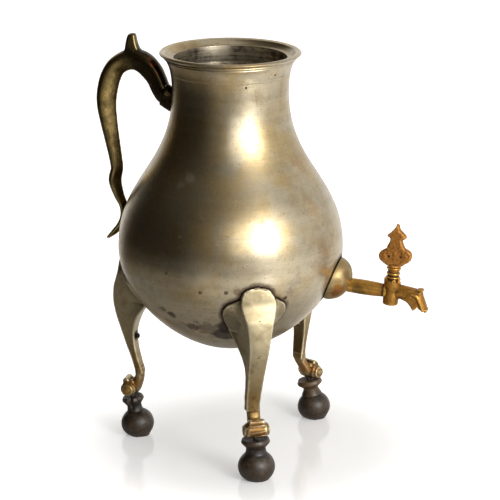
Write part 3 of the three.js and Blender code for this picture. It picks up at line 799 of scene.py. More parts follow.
@dataclass(frozen=True)
class Pewter:
    """Old turned pewter: lathe lines, patches, pits, scratches, stain spots and painted contact
    shade.
    """

    name: str = "turned pewter"
    cool: str = "c2b69c"
    warm: str = "bda67a"
    tarnish: str = "75664c"
    stain: str = "4a2e17"
    soot_and_contact_shade: str = "1c140e"
    roughness: float = 0.33
    bowl_height: float = 122.0
    colour_spots: tuple[ColourSpot, ...] = ()

    def material(self) -> Material:
        """Makes the vessel's material.

        Returns:
            The finished material.
        """
        look = Look(self.name)
        place = look.place()
        x, y, z = look.parts(place)
        along = z + 0.6 * (x * x + y * y) ** 0.5
        patches = look.cloud(place, 46, 4, 0.62, 0.4)
        mottle = look.cloud(place, 8, 5, 0.65)
        speck = look.cloud(place, 1.3, 4, 0.7)
        turning = look.cloud(look.joined(x * 0.018, y * 0.018, along), 0.9, 4, 0.7)
        bands = look.cloud(look.joined(x * 0.01, y * 0.01, along), 9, 3, 0.5)
        worn = (mottle * 0.55 + bands * 0.45).step(0.40, 0.68)
        low = z.step(self.bowl_height, self.bowl_height - 36)
        pits = look.dots(place, 4.6, 0.13, 0.40).most(look.dots(place, 11, 0.07, 0.5))
        fine = look.dots(place, 1.7, 0.19, 0.40) * mottle.step(0.40, 0.52)
        scratches = self._scratches(look, place)
        marks = pits.most(fine * 0.8).most(scratches * 0.5)
        colour = look.paint(
            tint(self.cool), (patches.step(0.38, 0.62), self.warm), (worn * 0.34, self.tarnish),
            (turning.step(0.52, 0.72) * 0.22, self.tarnish),
            (speck.step(0.54, 0.68) * (0.1 + 0.6 * mottle), self.tarnish),
            (low * (0.25 + 0.5 * mottle), self.tarnish), (marks * 0.8, self.soot_and_contact_shade))
        contact = look.measured("contact")
        stains_and_shade = contact.step(0.2, 0.1)
        # The spots are stains, and two of them paint the front leg's shadow on the bowl.
        for stain in self.colour_spots:
            here = stain.share(look, place, mottle * 0.6 + speck * 0.4)
            colour = look.paint(colour, (here, stain.colour))
            stains_and_shade = stains_and_shade.most(here)
        rust = (contact + (mottle - 0.5) * 7.0).step(4.6, 1.6) * (0.35 + mottle)
        # Painted shade: a near-black band within about 2 mm of the legs, socket, handle and tap
        # boss.
        gap = (contact + (speck - 0.5) * 1.2).step(2.0, 1.3)
        colour = look.paint(colour, (rust.least(0.85), self.stain), (gap * 0.95, self.soot_and_contact_shade))
        stains_and_shade = stains_and_shade.most(rust * 0.7).most(gap).least(1.0)
        roughness = (self.roughness + 0.12 * (mottle - 0.5) + 0.10 * (patches - 0.5)
                     + 0.08 * (turning - 0.5) + 0.25 * stains_and_shade + 0.3 * marks + 0.08 * low)
        height = (0.035 * turning + 0.10 * bands + 0.05 * speck + 0.05 * mottle - 0.16 * pits
                  - 0.10 * fine - 0.03 * scratches)
        return look.dress(Base_Color=colour, Metallic=1.0 - 0.6 * stains_and_shade, Roughness=roughness,
                          Normal=look.bump(height, 0.55), Coat_Weight=0.3 - 0.3 * stains_and_shade,
                          Coat_Roughness=0.3, Specular_IOR_Level=0.3)

    def _scratches(self, look: Look, place: Value) -> Value:
        """Draws thin short scratches in two directions.

        Args:
            look: The node tree.
            place: The place, in millimetres.

        Returns:
            The strength of the scratches at the place.
        """
        lines = []
        for factors, size in (((0.10, 0.10, 1.2), 2.6), ((0.9, 0.9, 0.14), 3.4)):
            fibre = look.cloud(look.vector("MULTIPLY", place, factors), size, 2, 0.4, 0.3)
            broken = look.cloud(place, 6.5, 2).step(0.56, 0.64)
            lines.append(abs(fibre - 0.5).step(0.012, 0.004) * broken)
        return lines[0].most(lines[1])


@dataclass(frozen=True)
class InnerPewter:
    """The unpolished inside of the vessel, dull and spotted."""

    name: str = "dull pewter inside"
    base: str = "b3a893"
    dark: str = "3a2e22"

    def material(self) -> Material:
        """Makes the material of the inner wall.

        Returns:
            The finished material.
        """
        look = Look(self.name)
        place = look.place()
        x, y, z = look.parts(place)
        mottle = look.cloud(place, 11, 5, 0.65)
        rings = look.cloud(look.joined(x * 0.02, y * 0.02, z), 1.4, 3, 0.6)
        # Painted shade: the inner wall darkens with depth, fully from 225 mm down.
        deep = z.step(300, 225)
        pits = look.dots(place, 6, 0.13, 0.5)
        spotted = (mottle * 0.7 + rings * 0.3).step(0.4, 0.66)
        colour = look.paint(tint(self.base), (spotted, self.dark), (deep * 0.55, self.dark),
                            (pits * 0.8, self.dark))
        return look.dress(Base_Color=colour, Metallic=0.9,
                          Roughness=0.36 + 0.2 * (mottle - 0.5) + 0.1 * deep,
                          Normal=look.bump(0.05 * rings + 0.12 * mottle - 0.2 * pits, 0.6))


@dataclass(frozen=True)
class Casting:
    """Cast metal with worn ridges, dark hollows and patches of patina.

    The tints of its low end and its side start at the first height or place and are full at the
    second.
    """

    name: str
    bright: str
    base: str
    patina: str
    hollow: str
    roughness: float = 0.36
    metallic: float = 1.0
    patch: float = 12.0
    patched: float = 0.5
    relief: float = 0.16
    grain: float = 0.12
    low_tint: str | None = None
    low: Pair = (112.0, 52.0)
    side_tint: str | None = None
    side: Pair = (-90.0, -76.0)
    colour_spots: tuple[ColourSpot, ...] = ()

    def material(self) -> Material:
        """Makes the cast metal's material.

        Returns:
            The finished material.
        """
        look = Look(self.name)
        place = look.place()
        x, _, z = look.parts(place)
        relief = look.measured("relief")
        patches = look.cloud(place, self.patch, 4, 0.6, 0.5)
        mottle = look.cloud(place, 3.2, 5, 0.65)
        speck = look.cloud(place, 0.9, 3, 0.7)
        worn = (relief + (mottle - 0.5) * self.relief).step(0.02, self.relief)
        sunk = (relief + (mottle - 0.5) * 0.08).step(-0.015, -self.relief * 0.8)
        pits = look.dots(place, 2.6, 0.16, 0.35) * patches.step(0.4, 0.6)
        colour: Colour = tint(self.base)
        if self.low_tint:
            low = (z + (patches - 0.5) * 50).step(*self.low)
            colour = look.paint(colour, (low, self.low_tint))
        colour = look.paint(
            colour, (patches.step(0.42, 0.68) * self.patched, self.patina),
            (mottle.step(0.52, 0.72) * (0.45 * self.patched), self.hollow),
            (worn * 0.75, self.bright), (sunk * 0.85, self.hollow), (pits * 0.7, self.hollow))
        if self.side_tint:
            side = (x + (patches - 0.5) * 14).step(*self.side)
            colour = look.paint(colour, (side * 0.86, self.side_tint))
        # The spots are stains, with painted shade on the front leg's left lobe and a painted
        # highlight streak on the handle.
        colour = look.paint(colour, *((stain.share(look, place, mottle), stain.colour)
                                      for stain in self.colour_spots))
        roughness = (self.roughness + 0.16 * (mottle - 0.5) + 0.25 * sunk + 0.2 * pits
                     - 0.08 * worn)
        height = self.grain * (0.6 * mottle + 0.4 * speck) - 0.15 * pits
        return look.dress(Base_Color=colour, Metallic=self.metallic - 0.35 * sunk,
                          Roughness=roughness, Normal=look.bump(height, 0.7))


@dataclass(frozen=True)
class Wood:
    """Blackened turned wood, worn through to brown on its ridges."""

    name: str = "blackened wood"
    black: str = "15100b"
    brown: str = "2a1d12"
    worn: str = "46392b"
    rubbed: str = "6b5233"
    crack: str = "080604"

    def material(self) -> Material:
        """Makes the feet's material.

        Returns:
            The finished material.
        """
        look = Look(self.name)
        place = look.place()
        x, y, z = look.parts(place)
        relief = look.measured("relief")
        fibre = look.cloud(look.joined(x, y, z * 0.12), 0.8, 4, 0.65)
        rings = look.cloud(look.joined(x * 0.05, y * 0.05, z), 1.1, 3, 0.6)
        patches = look.cloud(place, 7, 4, 0.65, 0.5)
        nicks = look.dots(place, 3.0, 0.2, 0.25)
        grime = look.cloud(place, 2.2, 5, 0.72)
        worn = (relief + (patches - 0.5) * 0.25).step(0.03, 0.22)
        sunk = relief.step(-0.02, -0.16)
        bare = y.step(30, 50) * (z + (patches - 0.5) * 14).step(19, 27)
        colour = look.paint(
            tint(self.black), (patches.step(0.44, 0.68), self.brown),
            (fibre.step(0.55, 0.75) * 0.5, self.crack), (worn * 0.7, self.worn),
            (sunk * 0.8, self.crack), (nicks * patches.step(0.45, 0.6) * 0.5, self.worn),
            (grime.step(0.53, 0.66) * (0.25 + 0.6 * patches), self.rubbed),
            (bare * (0.3 + 0.6 * fibre), self.rubbed))
        height = 0.10 * fibre + 0.06 * rings + 0.12 * patches + 0.10 * grime - 0.15 * nicks
        return look.dress(Base_Color=colour, Roughness=0.40 + 0.22 * (patches - 0.5) + 0.15 * sunk,
                          Normal=look.bump(height, 0.8), Specular_IOR_Level=0.6)


@dataclass(frozen=True)
class Iron:
    """Plain dark iron."""

    name: str = "iron"
    base: str = "58514a"
    rust: str = "3c2517"

    def material(self) -> Material:
        """Makes the material of pegs and screw.

        Returns:
            The finished material.
        """
        look = Look(self.name)
        patches = look.cloud(look.place(), 1.6, 4, 0.6)
        colour = look.paint(tint(self.base), (patches.step(0.45, 0.65), self.rust))
        return look.dress(Base_Color=colour, Metallic=0.9 - 0.5 * patches,
                          Roughness=0.45 + 0.3 * patches, Normal=look.bump(patches * 0.1, 0.5))


@dataclass
class Vessel:
    """The pear-shaped vessel: bowl and shoulder in one skin, and the cast rim on top."""

    bottom: float = 85.0
    girth: float = 170.0
    neck: float = 298.0
    seam: float = 312.0
    top: float = 330.0
    belly_radius: float = 91.0
    neck_radius: float = 46.7
    seam_radius: float = 47.8
    lip_radius: float = 56.6
    line_height: float = 11.8
    line_radius: float = 51.6
    ledge_radius: float = 49.2
    mouth_radius: float = 45.2
    dull_radius: float = 47.0
    dull_depth: float = 5.0
    wall: float = 2.4
    belly_up: float = 56.0
    neck_down: float = 62.0
    belly_down: float = 40.0
    bottom_out: float = 43.0
    sides: int = 256
    hole_radius: float = 1.8
    hole_ring: float = 7.0

    def profile(self, inset: float, steps: int = 60) -> list[Pair]:
        """Gives the outline from the bottom's middle to the neck's seam.

        Args:
            inset: How far it is moved in.
            steps: How many stretches each long curve is cut into.

        Returns:
            The points of the outline.
        """
        low, belly, neck = (self.bottom + inset, self.belly_radius - inset,
                            self.neck_radius - inset)
        return traced(
            (0, low),
            (self.bottom_out, low, belly, self.girth - self.belly_down, belly, self.girth, steps),
            (belly, self.girth + self.belly_up, neck, self.neck - self.neck_down,
             neck, self.neck, steps),
            (neck, (self.neck + self.seam) / 2, self.seam_radius - inset, self.seam, 8))

    @cached_property
    def outer(self) -> list[Pair]:
        """The outer outline."""
        return self.profile(0)

    def radius_at(self, height: float) -> float:
        """Reads the outer radius off the outline.

        Args:
            height: How high it is read.

        Returns:
            The radius there.
        """
        for (r0, z0), (r1, z1) in zip(self.outer, self.outer[1:]):
            if z0 <= height <= z1 and z1 > z0:
                return r0 + (r1 - r0) * (height - z0) / (z1 - z0)
        return self.outer[-1][0]

    def trim(self, grow: float) -> Form:
        """Gives the full outer form, a little larger, that trims what sits on the vessel."""
        return Form.turned([*self.profile(-grow, 40), (0, self.seam)], 128)

    def skin(self) -> Form:
        """Gives the closed skin of bowl, shoulder and neck."""
        return Form.turned([*self.outer, *self.profile(self.wall, 30)[::-1]], self.sides)

    def rim(self) -> Form:
        """Gives the rim with its incised line, rounded lip and lid ledge.

        Returns:
            The rim, a ring on the neck's seam.
        """
        lip, top, seam, line = self.lip_radius, self.top, self.seam, self.seam + self.line_height
        groove, ledge, mouth = self.line_radius, self.ledge_radius, self.mouth_radius
        outline = traced(
            (self.seam_radius - 0.15, seam - 0.05), (self.seam_radius + 0.1, seam + 0.3),
            (self.seam_radius + 0.9, seam + 6.0, groove + 0.1, line - 0.7, 10),
            (groove - 0.05, line - 0.2), (groove, line + 0.2),
            (groove + 1.4, line + 0.4, groove + 1.6, line + 1.0, 4),
            (groove + 1.7, line + 1.7, groove + 1.5, line + 1.9, 3),
            (groove + 3.0, line + 2.6, lip - 0.1, top - 2.1, 6),
            (lip + 0.25, top - 1.7, lip - 0.2, top - 1.3, 4),
            (lip - 0.7, top - 0.6, lip - 1.4, top - 0.3, 5),
            (lip - 1.9, top - 0.05, lip - 2.5, top - 0.3, 4), (lip - 4.2, top - 0.75),
            (lip - 4.9, top - 0.95, lip - 5.1, top - 1.5, 4), (ledge, top - 4.5),
            (ledge - 0.5, top - 4.8), (mouth + 0.6, top - 4.8),
            (mouth, top - 4.8, mouth, top - 5.4, 3), (self.seam_radius - self.wall, seam - 0.05))
        return Form.turned(outline, self.sides, closed=True)

    def strainer(self, matrix: Matrix) -> Form:
        """Gives the bars that drill the strainer holes through the bowl.

        Args:
            matrix: The place of the boss that covers them.

        Returns:
            The bars, one in the middle and six round it.
        """
        spots = [(0.0, 0.0), *(spoke(60 * k, self.hole_ring) for k in range(6))]
        bars = [Form.bar((x, y, -9), (x, y, 9), self.hole_radius, 20) for x, y in spots]
        return bars[0].with_also(*bars[1:]).moved(matrix)


@dataclass
class Handle:
    """The cast scroll handle, built towards +X, with its thumb rest and socket."""

    vessel: Vessel
    arch: tuple[Triple, ...] = (
        (1.6, -8.2, 8.6), (7.6, -6.4, 8.4), (11.4, -1.4, 8.0), (14.2, 5.0, 8.2),
        (18.1, 11.6, 8.9), (25.7, 18.8, 9.2), (35.2, 21, 8.6), (46.7, 15.4, 8.1),
        (52.3, 6.3, 8.5), (55.7, -7.8, 8.5), (56, -18, 8), (54.1, -32.3, 7), (51, -49.7, 5.9))
    tail: tuple[Triple, ...] = (
        (7, 43, 5.3), (6.4, 36.6, 5.1), (8.2, 27, 5.4), (4.8, 14, 4.1), (1.7, 7, 3.4),
        (0.8, 0.5, 3.1), (1.6, -5.5, 3.1), (4.8, -12, 3), (9.5, -17.3, 2.6), (15.2, -22.6, 1.3))
    rest: tuple[Row, ...] = (
        (22.5, 19), (22.9, 26.2), (27.6, 27.4, 29.4, 33.2, 8), (30.6, 37, 31.0, 40.9, 6),
        (31.2, 43.1, 34.2, 42.5, 5), (37.4, 42.7, 38.3, 39.6, 5), (39.6, 35, 40.6, 27, 6),
        (41.2, 19))
    tail_height: float = 192.0
    base_half_width: float = 3.0
    width_share: float = 0.45
    fuller_outside: float = 0.62
    rest_half_width: float = 5.2
    rest_crest: float = 44.0
    rest_foot: float = 26.0
    crest_thinner: float = 0.25
    socket: tuple[Row, ...] = (
        (-2.7, -12.5, 10, 9.4, 7.2), (2.9, -10.0, 12, 9.5, 7.3), (6.7, -7.2, 19, 9.5, 7.6),
        (8.1, -6.6, 20, 9.4, 7.6), (8.8, -6.3, 20, 8.7, 7.0))
    socket_slope: float = 20.0

    def stations(self) -> list[Triple]:
        """Gives the middle of the casting in the vessel's frame.

        Returns:
            Places on it, with the half thickness as third number.
        """
        neck, height = self.vessel.neck_radius, self.vessel.neck
        belly = self.vessel.radius_at(self.tail_height)
        return ([(neck + x, height + z, h) for x, z, h in self.arch]
                + [(belly + x, self.tail_height + z, h) for x, z, h in self.tail])

    def thumb_rest(self) -> Form:
        """Gives the thumb rest on the arch, broad below and thinner at its crest.

        Returns:
            The thumb rest, sunk into the arch.
        """
        neck, height = self.vessel.neck_radius, self.vessel.neck
        placed = [(neck + x, height + z) for x, z in traced(*self.rest)]
        foot, rise = height + self.rest_foot, self.rest_crest - self.rest_foot

        def thinned(p: Vector) -> Vector:
            """Draws the crest in across the handle."""
            share = min(max((p.z - foot) / rise, 0), 1)
            return Vector((p.x, p.y * (1 - self.crest_thinner * share), p.z))

        return Form.pillow(placed, self.rest_half_width, 1.2, 5).shifted(thinned)

    def casting(self) -> Form:
        """Gives the whole handle."""
        return Form.swept(self.stations(), 40, 200, self.base_half_width, self.width_share,
                          egg=self.fuller_outside).with_also(self.thumb_rest())

    def collar(self) -> Form:
        """Gives the short oval socket on the neck, with a rounded end.

        Returns:
            The socket, which starts inside the neck.
        """
        rings = []
        for out, up, slope, half_height, half_width in self.socket:
            lean = math.radians(slope)
            middle = Vector((self.vessel.neck_radius + out, 0, self.vessel.neck + up))
            across = Vector((math.sin(lean), 0, -math.cos(lean))) * half_height
            rings.append([middle + across * math.cos(a) + Vector((0, half_width * math.sin(a), 0))
                          for a in (2 * math.pi * k / 48 for k in range(48))])
        return Form.lofted(rings)

    def joint(self) -> Form:
        """Gives what parts the handle from its socket.

        Returns:
            The block that is cut from the handle where the socket starts.
        """
        out, up = self.socket[-1][:2]
        spot = (self.vessel.neck_radius + out, 0, self.vessel.neck + up)
        return Form.block((-40, -14), (CLEARANCE, 9.6), 20).moved(posed(spot, -self.socket_slope))

    def build(self, bronze: Material) -> None:
        """Makes handle and socket.

        Args:
            bronze: Their finish.
        """
        place = posed((0, 0, 0), 180, "Z")
        trim = self.vessel.trim(0.15)
        Piece("scroll_handle", self.casting(), ("handle",), Slot.DARK_BRONZE,
              cuts=(trim, self.joint()), voxel=0.75, soften=9, grain=(0.05, 6.0)
              ).build(bronze, place)
        Piece("neck_socket", self.collar(), ("handle_socket",), Slot.DARK_BRONZE, cuts=(trim,),
              voxel=0.6, soften=3, grain=(0.3, 4.0)).build(bronze, place)


@dataclass(frozen=True)
class FootShape:
    """The outline of one turned foot and what is broken off it."""

    collar: float
    neck: float
    ball: float
    shoulder: float
    ball_height: float
    groove: float = 0.0
    chip: float = 0.0
    square: float = 0.0


class FootKind(Enum):
    """The three feet, each turned a little differently."""

    STOUT = FootShape(collar=11.5, neck=7.9, ball=14.8, shoulder=8.8, ball_height=10.3)
    SLIM = FootShape(collar=10.8, neck=6.2, ball=13.77, shoulder=8.6, ball_height=9.8, groove=0.5,
                     square=0.02)
    PEAR = FootShape(collar=9.2, neck=6.0, ball=13.7, shoulder=7.0, ball_height=10.0, chip=3.0)


@dataclass
class Leg:
    """One leg: its casting with knee, shaft and scroll, and the wooden foot under it."""

    vessel: Vessel
    name: str
    azimuth: float
    splay: float
    sway: float
    lean: float
    foot: FootKind
    uneven: tuple[Triple, ...] = ((0.0, 0.0, 0.0), (1.0, 0.0, 0.0))
    lean_toward: float = 194.0
    inset: float = 6.3
    foot_height: float = 34.0
    knee_top: float = 160.0
    crown: float = 0.9
    rim_thickness: float = 2.6
    roll_radius: float = 6.3
    roll_out: float = 1.8
    roll_up: float = 7.4
    nib_share: float = 0.415
    tallness: float = 0.92
    rows: tuple[Row, ...] = (
        (0.165, -4, -10.4, 4.6, 5.2), (0.25, -1.9, -7.6, 4.9, 5.7), (0.35, 2.4, -4.7, 5.5, 6.3),
        (0.46, 6.7, -4.2, 6.4, 7.8), (0.57, 10.9, -8.6, 7.2, 12), (0.67, 13, -18, 8.2, 17.2),
        (0.775, 11.9, -29, 10, 24), (0.83, 9.6, -34, 12, 25.6), (0.88, 7.6, -36, 13.3, 22.4),
        (0.902, 7.1, -36, 13.3, 17.2), (0.915, 6.9, -36, 13.2, 13.4), (0.94, 6.5, -36, 12.2, 12.4),
        (0.985, 5.6, -36, 7.5, 7.6), (1, 5.2, -36, 2, 2))
    curl: tuple[Triple, ...] = (
        (-7, 26, 3.4), (-7, 19.5, 3.6), (-5, 12.5, 4.4), (-2, 8, 5.4), (2.6, 7, 6))

    def row(self, share: float) -> np.ndarray:
        """Gives the casting's sizes at a share of its height.

        Args:
            share: The height as a share, from the foot up.

        Returns:
            Face and back, then the half widths of face and back.
        """
        rows = np.array(self.rows)
        last = len(rows) - 1
        i = int(np.clip(np.searchsorted(rows[:, 0], share, "right"), 1, last))
        a, b, c, d = rows[[i - 2 if i > 1 else i, i - 1, i, i + 1 if i < last else i - 1]]
        step, half = c[0] - b[0], (c - b) / 2
        leave = half + (b - a) * step / abs(b[0] - a[0]) / 2
        reach = half + (d - c) * step / abs(d[0] - c[0]) / 2
        return cubic((share - b[0]) / step, b, leave, c, reach)[1:]

    def height_at(self, share: float) -> float:
        """Gives the height at a share of the casting's height."""
        return self.foot_height + share * (self.knee_top - self.foot_height)

    def middle(self, share: float) -> float:
        """Gives the casting's middle, out from the vessel's axis, at a share of its height."""
        return self.vessel.belly_radius - self.inset + self.splay * (1 - share) ** 3

    def side(self, share: float) -> float:
        """Gives how far the casting is bent to its side at a share of its height."""
        return self.sway * (1 - share) ** 3

    def wider(self, share: float) -> Pair:
        """Gives how much further than its half width the face reaches to left and right."""
        shares, left, right = zip(*self.uneven)
        return float(np.interp(share, shares, left)), float(np.interp(share, shares, right))

    def shaft(self) -> Form:
        """Gives the shaft and knee as level slices.

        Returns:
            The casting above the scroll.
        """
        rings, lowest, slices = [], self.rows[0][0], 96
        for i in range(slices + 1):
            share = lowest + (1 - lowest) * i / slices
            face, back, face_half, back_half = self.row(share)
            back_half = max(back_half, 1.5)
            height, reach = self.height_at(share), self.middle(share)
            skin = math.sqrt(max(self.vessel.radius_at(height) ** 2 - back_half**2, 0))
            rim = max(reach + back + 1, skin + self.rim_thickness)
            front, rear = reach + face, reach + back
            bulge = front + self.crown * min(face_half / 6, 1)
            half = traced(
                (bulge, 0), (bulge, face_half * 0.6, front, face_half, 6),
                (rim + (front - rim) * 0.3, face_half + (back_half - face_half) * 0.2,
                 rim, back_half, 10),
                (rim - 0.8, back_half, rear, back_half - 1, 3), (rear, (back_half - 1) * 0.5))
            left, right = self.wider(share)
            other = [(x, -y - left * min(y / face_half, 1) * (x > rear + 3 or left > 0))
                     for x, y in half]
            half = [(x, y + right * min(y / face_half, 1)
                     * (x > front - 5 or back_half < face_half + 3)) for x, y in half]
            rings.append([Vector((x, y + self.side(share), height))
                          for x, y in half + other[:0:-1]])
        return Form.lofted(rings)

    def scroll(self) -> Form:
        """Gives the scroll that the shaft ends in, with its rolls and buttons.

        Returns:
            The scroll, led back to where the shaft comes down.
        """
        reach, foot = self.middle(0), self.foot_height
        stations = [(reach + x, foot + z, h) for x, z, h in self.curl]
        out, up = self.roll_out, self.roll_up
        rolls = [Form.bar((reach + x, -half, foot + z), (reach + x, half, foot + z), radius, 48,
                          rounding)
                 for x, z, radius, half, rounding in (
                     (out, up, self.roll_radius, 8.4, 1.6), (out, up, 4.9, 10.4, 1.0),
                     (out, up, 2.6, 11.0, 1.2), (3.8, 14.2, 2.7, 6.6, 0.9),
                     (-0.9, 13.0, 2.1, 5.8, 0.8))]

        def followed(p: Vector) -> Vector:
            """Moves a point of the scroll's neck to where the shaft comes down.

            Args:
                p: The point.

            Returns:
                The moved point.
            """
            share = max(0.0, (p.z - foot) / (self.knee_top - foot))
            t = min(max((p.z - foot - 8) / 12, 0), 1)
            t = t * t * (3 - 2 * t)
            return Vector((p.x + t * (self.middle(share) - reach),
                           p.y + self.sway + t * (self.side(share) - self.sway), p.z))

        return Form.swept(stations, 32, 40, 5.4, power=0.8).with_also(*rolls).shifted(followed)

    def nib(self) -> Form:
        """Gives the small nib on the back of the shaft.

        Returns:
            A short bar across the leg.
        """
        back = next(row[2] for row in self.rows if row[0] > self.nib_share)
        x, z = self.middle(self.nib_share) + back - 0.3, self.height_at(self.nib_share)
        side = self.side(self.nib_share)
        return Form.bar((x, side - 2.2, z), (x, side + 2.2, z), 2.6, 24, 1.0)

    def grooves(self) -> Form:
        """Gives the lines that are cut across the front of the scroll.

        Returns:
            Three thin bars, which slope a little.
        """
        lines, depth, tilt, half = [], self.roll_radius + 0.2, 1.5, 12
        for angle, radius in ((40, 0.8), (-3, 0.35), (-38, 0.6)):
            out, up = spoke(angle, depth)
            x, z = self.middle(0) + self.roll_out + out, self.foot_height + self.roll_up + up
            lines.append(Form.bar((x, self.sway - half, z - tilt), (x, self.sway + half, z + tilt),
                                  radius, 12))
        return lines[0].with_also(*lines[1:])

    def foot_frame(self) -> Matrix:
        """Gives the foot's place and lean.

        Returns:
            The matrix from the foot's frame, its top at height 0, to the leg's.
        """
        across, along = spoke(self.lean_toward - self.azimuth)
        return posed((self.middle(0), self.sway, self.foot_height), self.lean,
                     Vector((-along, across, 0)))

    def foot_form(self) -> Form:
        """Gives the turned foot, standing on the edge or the flat of its base.

        Returns:
            The foot in the leg's frame.
        """
        shape = self.foot.value
        base, drop = -self.foot_height - 3, shape.ball_height - self.foot_height
        neck, collar, tall = shape.neck, shape.collar, shape.ball * self.tallness
        top = math.degrees(math.acos(shape.shoulder / shape.ball))
        ball = arc((0, drop), (shape.ball, tall), -33, top, 24)
        edge, cut = ball[-1][1], shape.shoulder - shape.groove
        throat = ((neck + 0.3, edge + 1.3, neck, -9.2, 8),)
        if shape.groove:
            throat = ((cut, edge + 0.25), (cut, edge + 0.7), (shape.shoulder - 0.1, edge + 1.0),
                      (shape.shoulder - 0.5, edge + 2.4, neck, -8.6, 8))
        outline = traced(
            (0, base), (shape.ball * 0.56, base), (shape.ball * 0.66, drop - tall * 0.80), *ball,
            *throat, (neck - 0.1, -7.2, neck + 0.6, -6.8, 4), (collar - 0.5, -3.9),
            (collar + 0.1, -3.2, collar - 0.05, -2.6, 3), (collar - 0.8, -0.6),
            (collar - 1.0, -0.1, collar - 1.7, -0.1, 3), (collar - 2.6, -0.4), (2.6, -0.5),
            (0, -0.5))
        form = Form.turned(outline, 96).shifted(self._broken).moved(self.foot_frame())
        return form.shifted(lambda p: Vector((p.x, p.y, max(p.z, 0.0))))

    def _broken(self, p: Vector) -> Vector:
        """Moves a point of the foot where its collar is split or its turning is uneven.

        Args:
            p: The point, in the foot's own frame.

        Returns:
            The moved point.
        """
        shape = self.foot.value
        angle = math.degrees(math.atan2(p.y, p.x))
        wobble = 1 + 0.012 * noise.noise(Vector((p.x, p.y, p.z * 0.6)) / 6)
        if shape.chip and p.z > -11:
            fade = min(1, (p.z + 11) / 5)
            for where, width, depth in (
                    (91, 16, shape.chip), (60, 7, 1.2), (140, 9, 0.9), (-70, 8, 0.8)):
                gap = abs((angle - where + 180) % 360 - 180)
                wobble -= fade * depth / shape.collar * max(0, 1 - (gap / width) ** 2)
        if p.z > -6:
            wobble += shape.square * math.cos(math.radians(4 * angle))
        return Vector((p.x * wobble, p.y * wobble, p.z + 0.25 * noise.noise(p / 5)))

    def build(self, metal: Material, wood: Material) -> None:
        """Makes the leg and its foot.

        Args:
            metal: The leg's finish.
            wood: The foot's finish.
        """
        place = posed((0, 0, 0), self.azimuth, "Z")
        below = Form.block((-60, -60), (60, 0), 60).moved(self.foot_frame())
        casting = self.shaft().with_also(self.scroll(), self.nib())
        Piece(f"casting_{self.name}", casting, (f"leg_{self.name}",), Slot.CAST_PEWTER, voxel=0.6,
              soften=3, cuts=(self.vessel.trim(1.1), self.grooves(), below), grain=(0.14, 5.0)
              ).build(metal, place)
        Piece(f"turned_foot_{self.name}", self.foot_form(), (f"foot_{self.name}",), Slot.WOOD,
              sharp=50).build(wood, place)


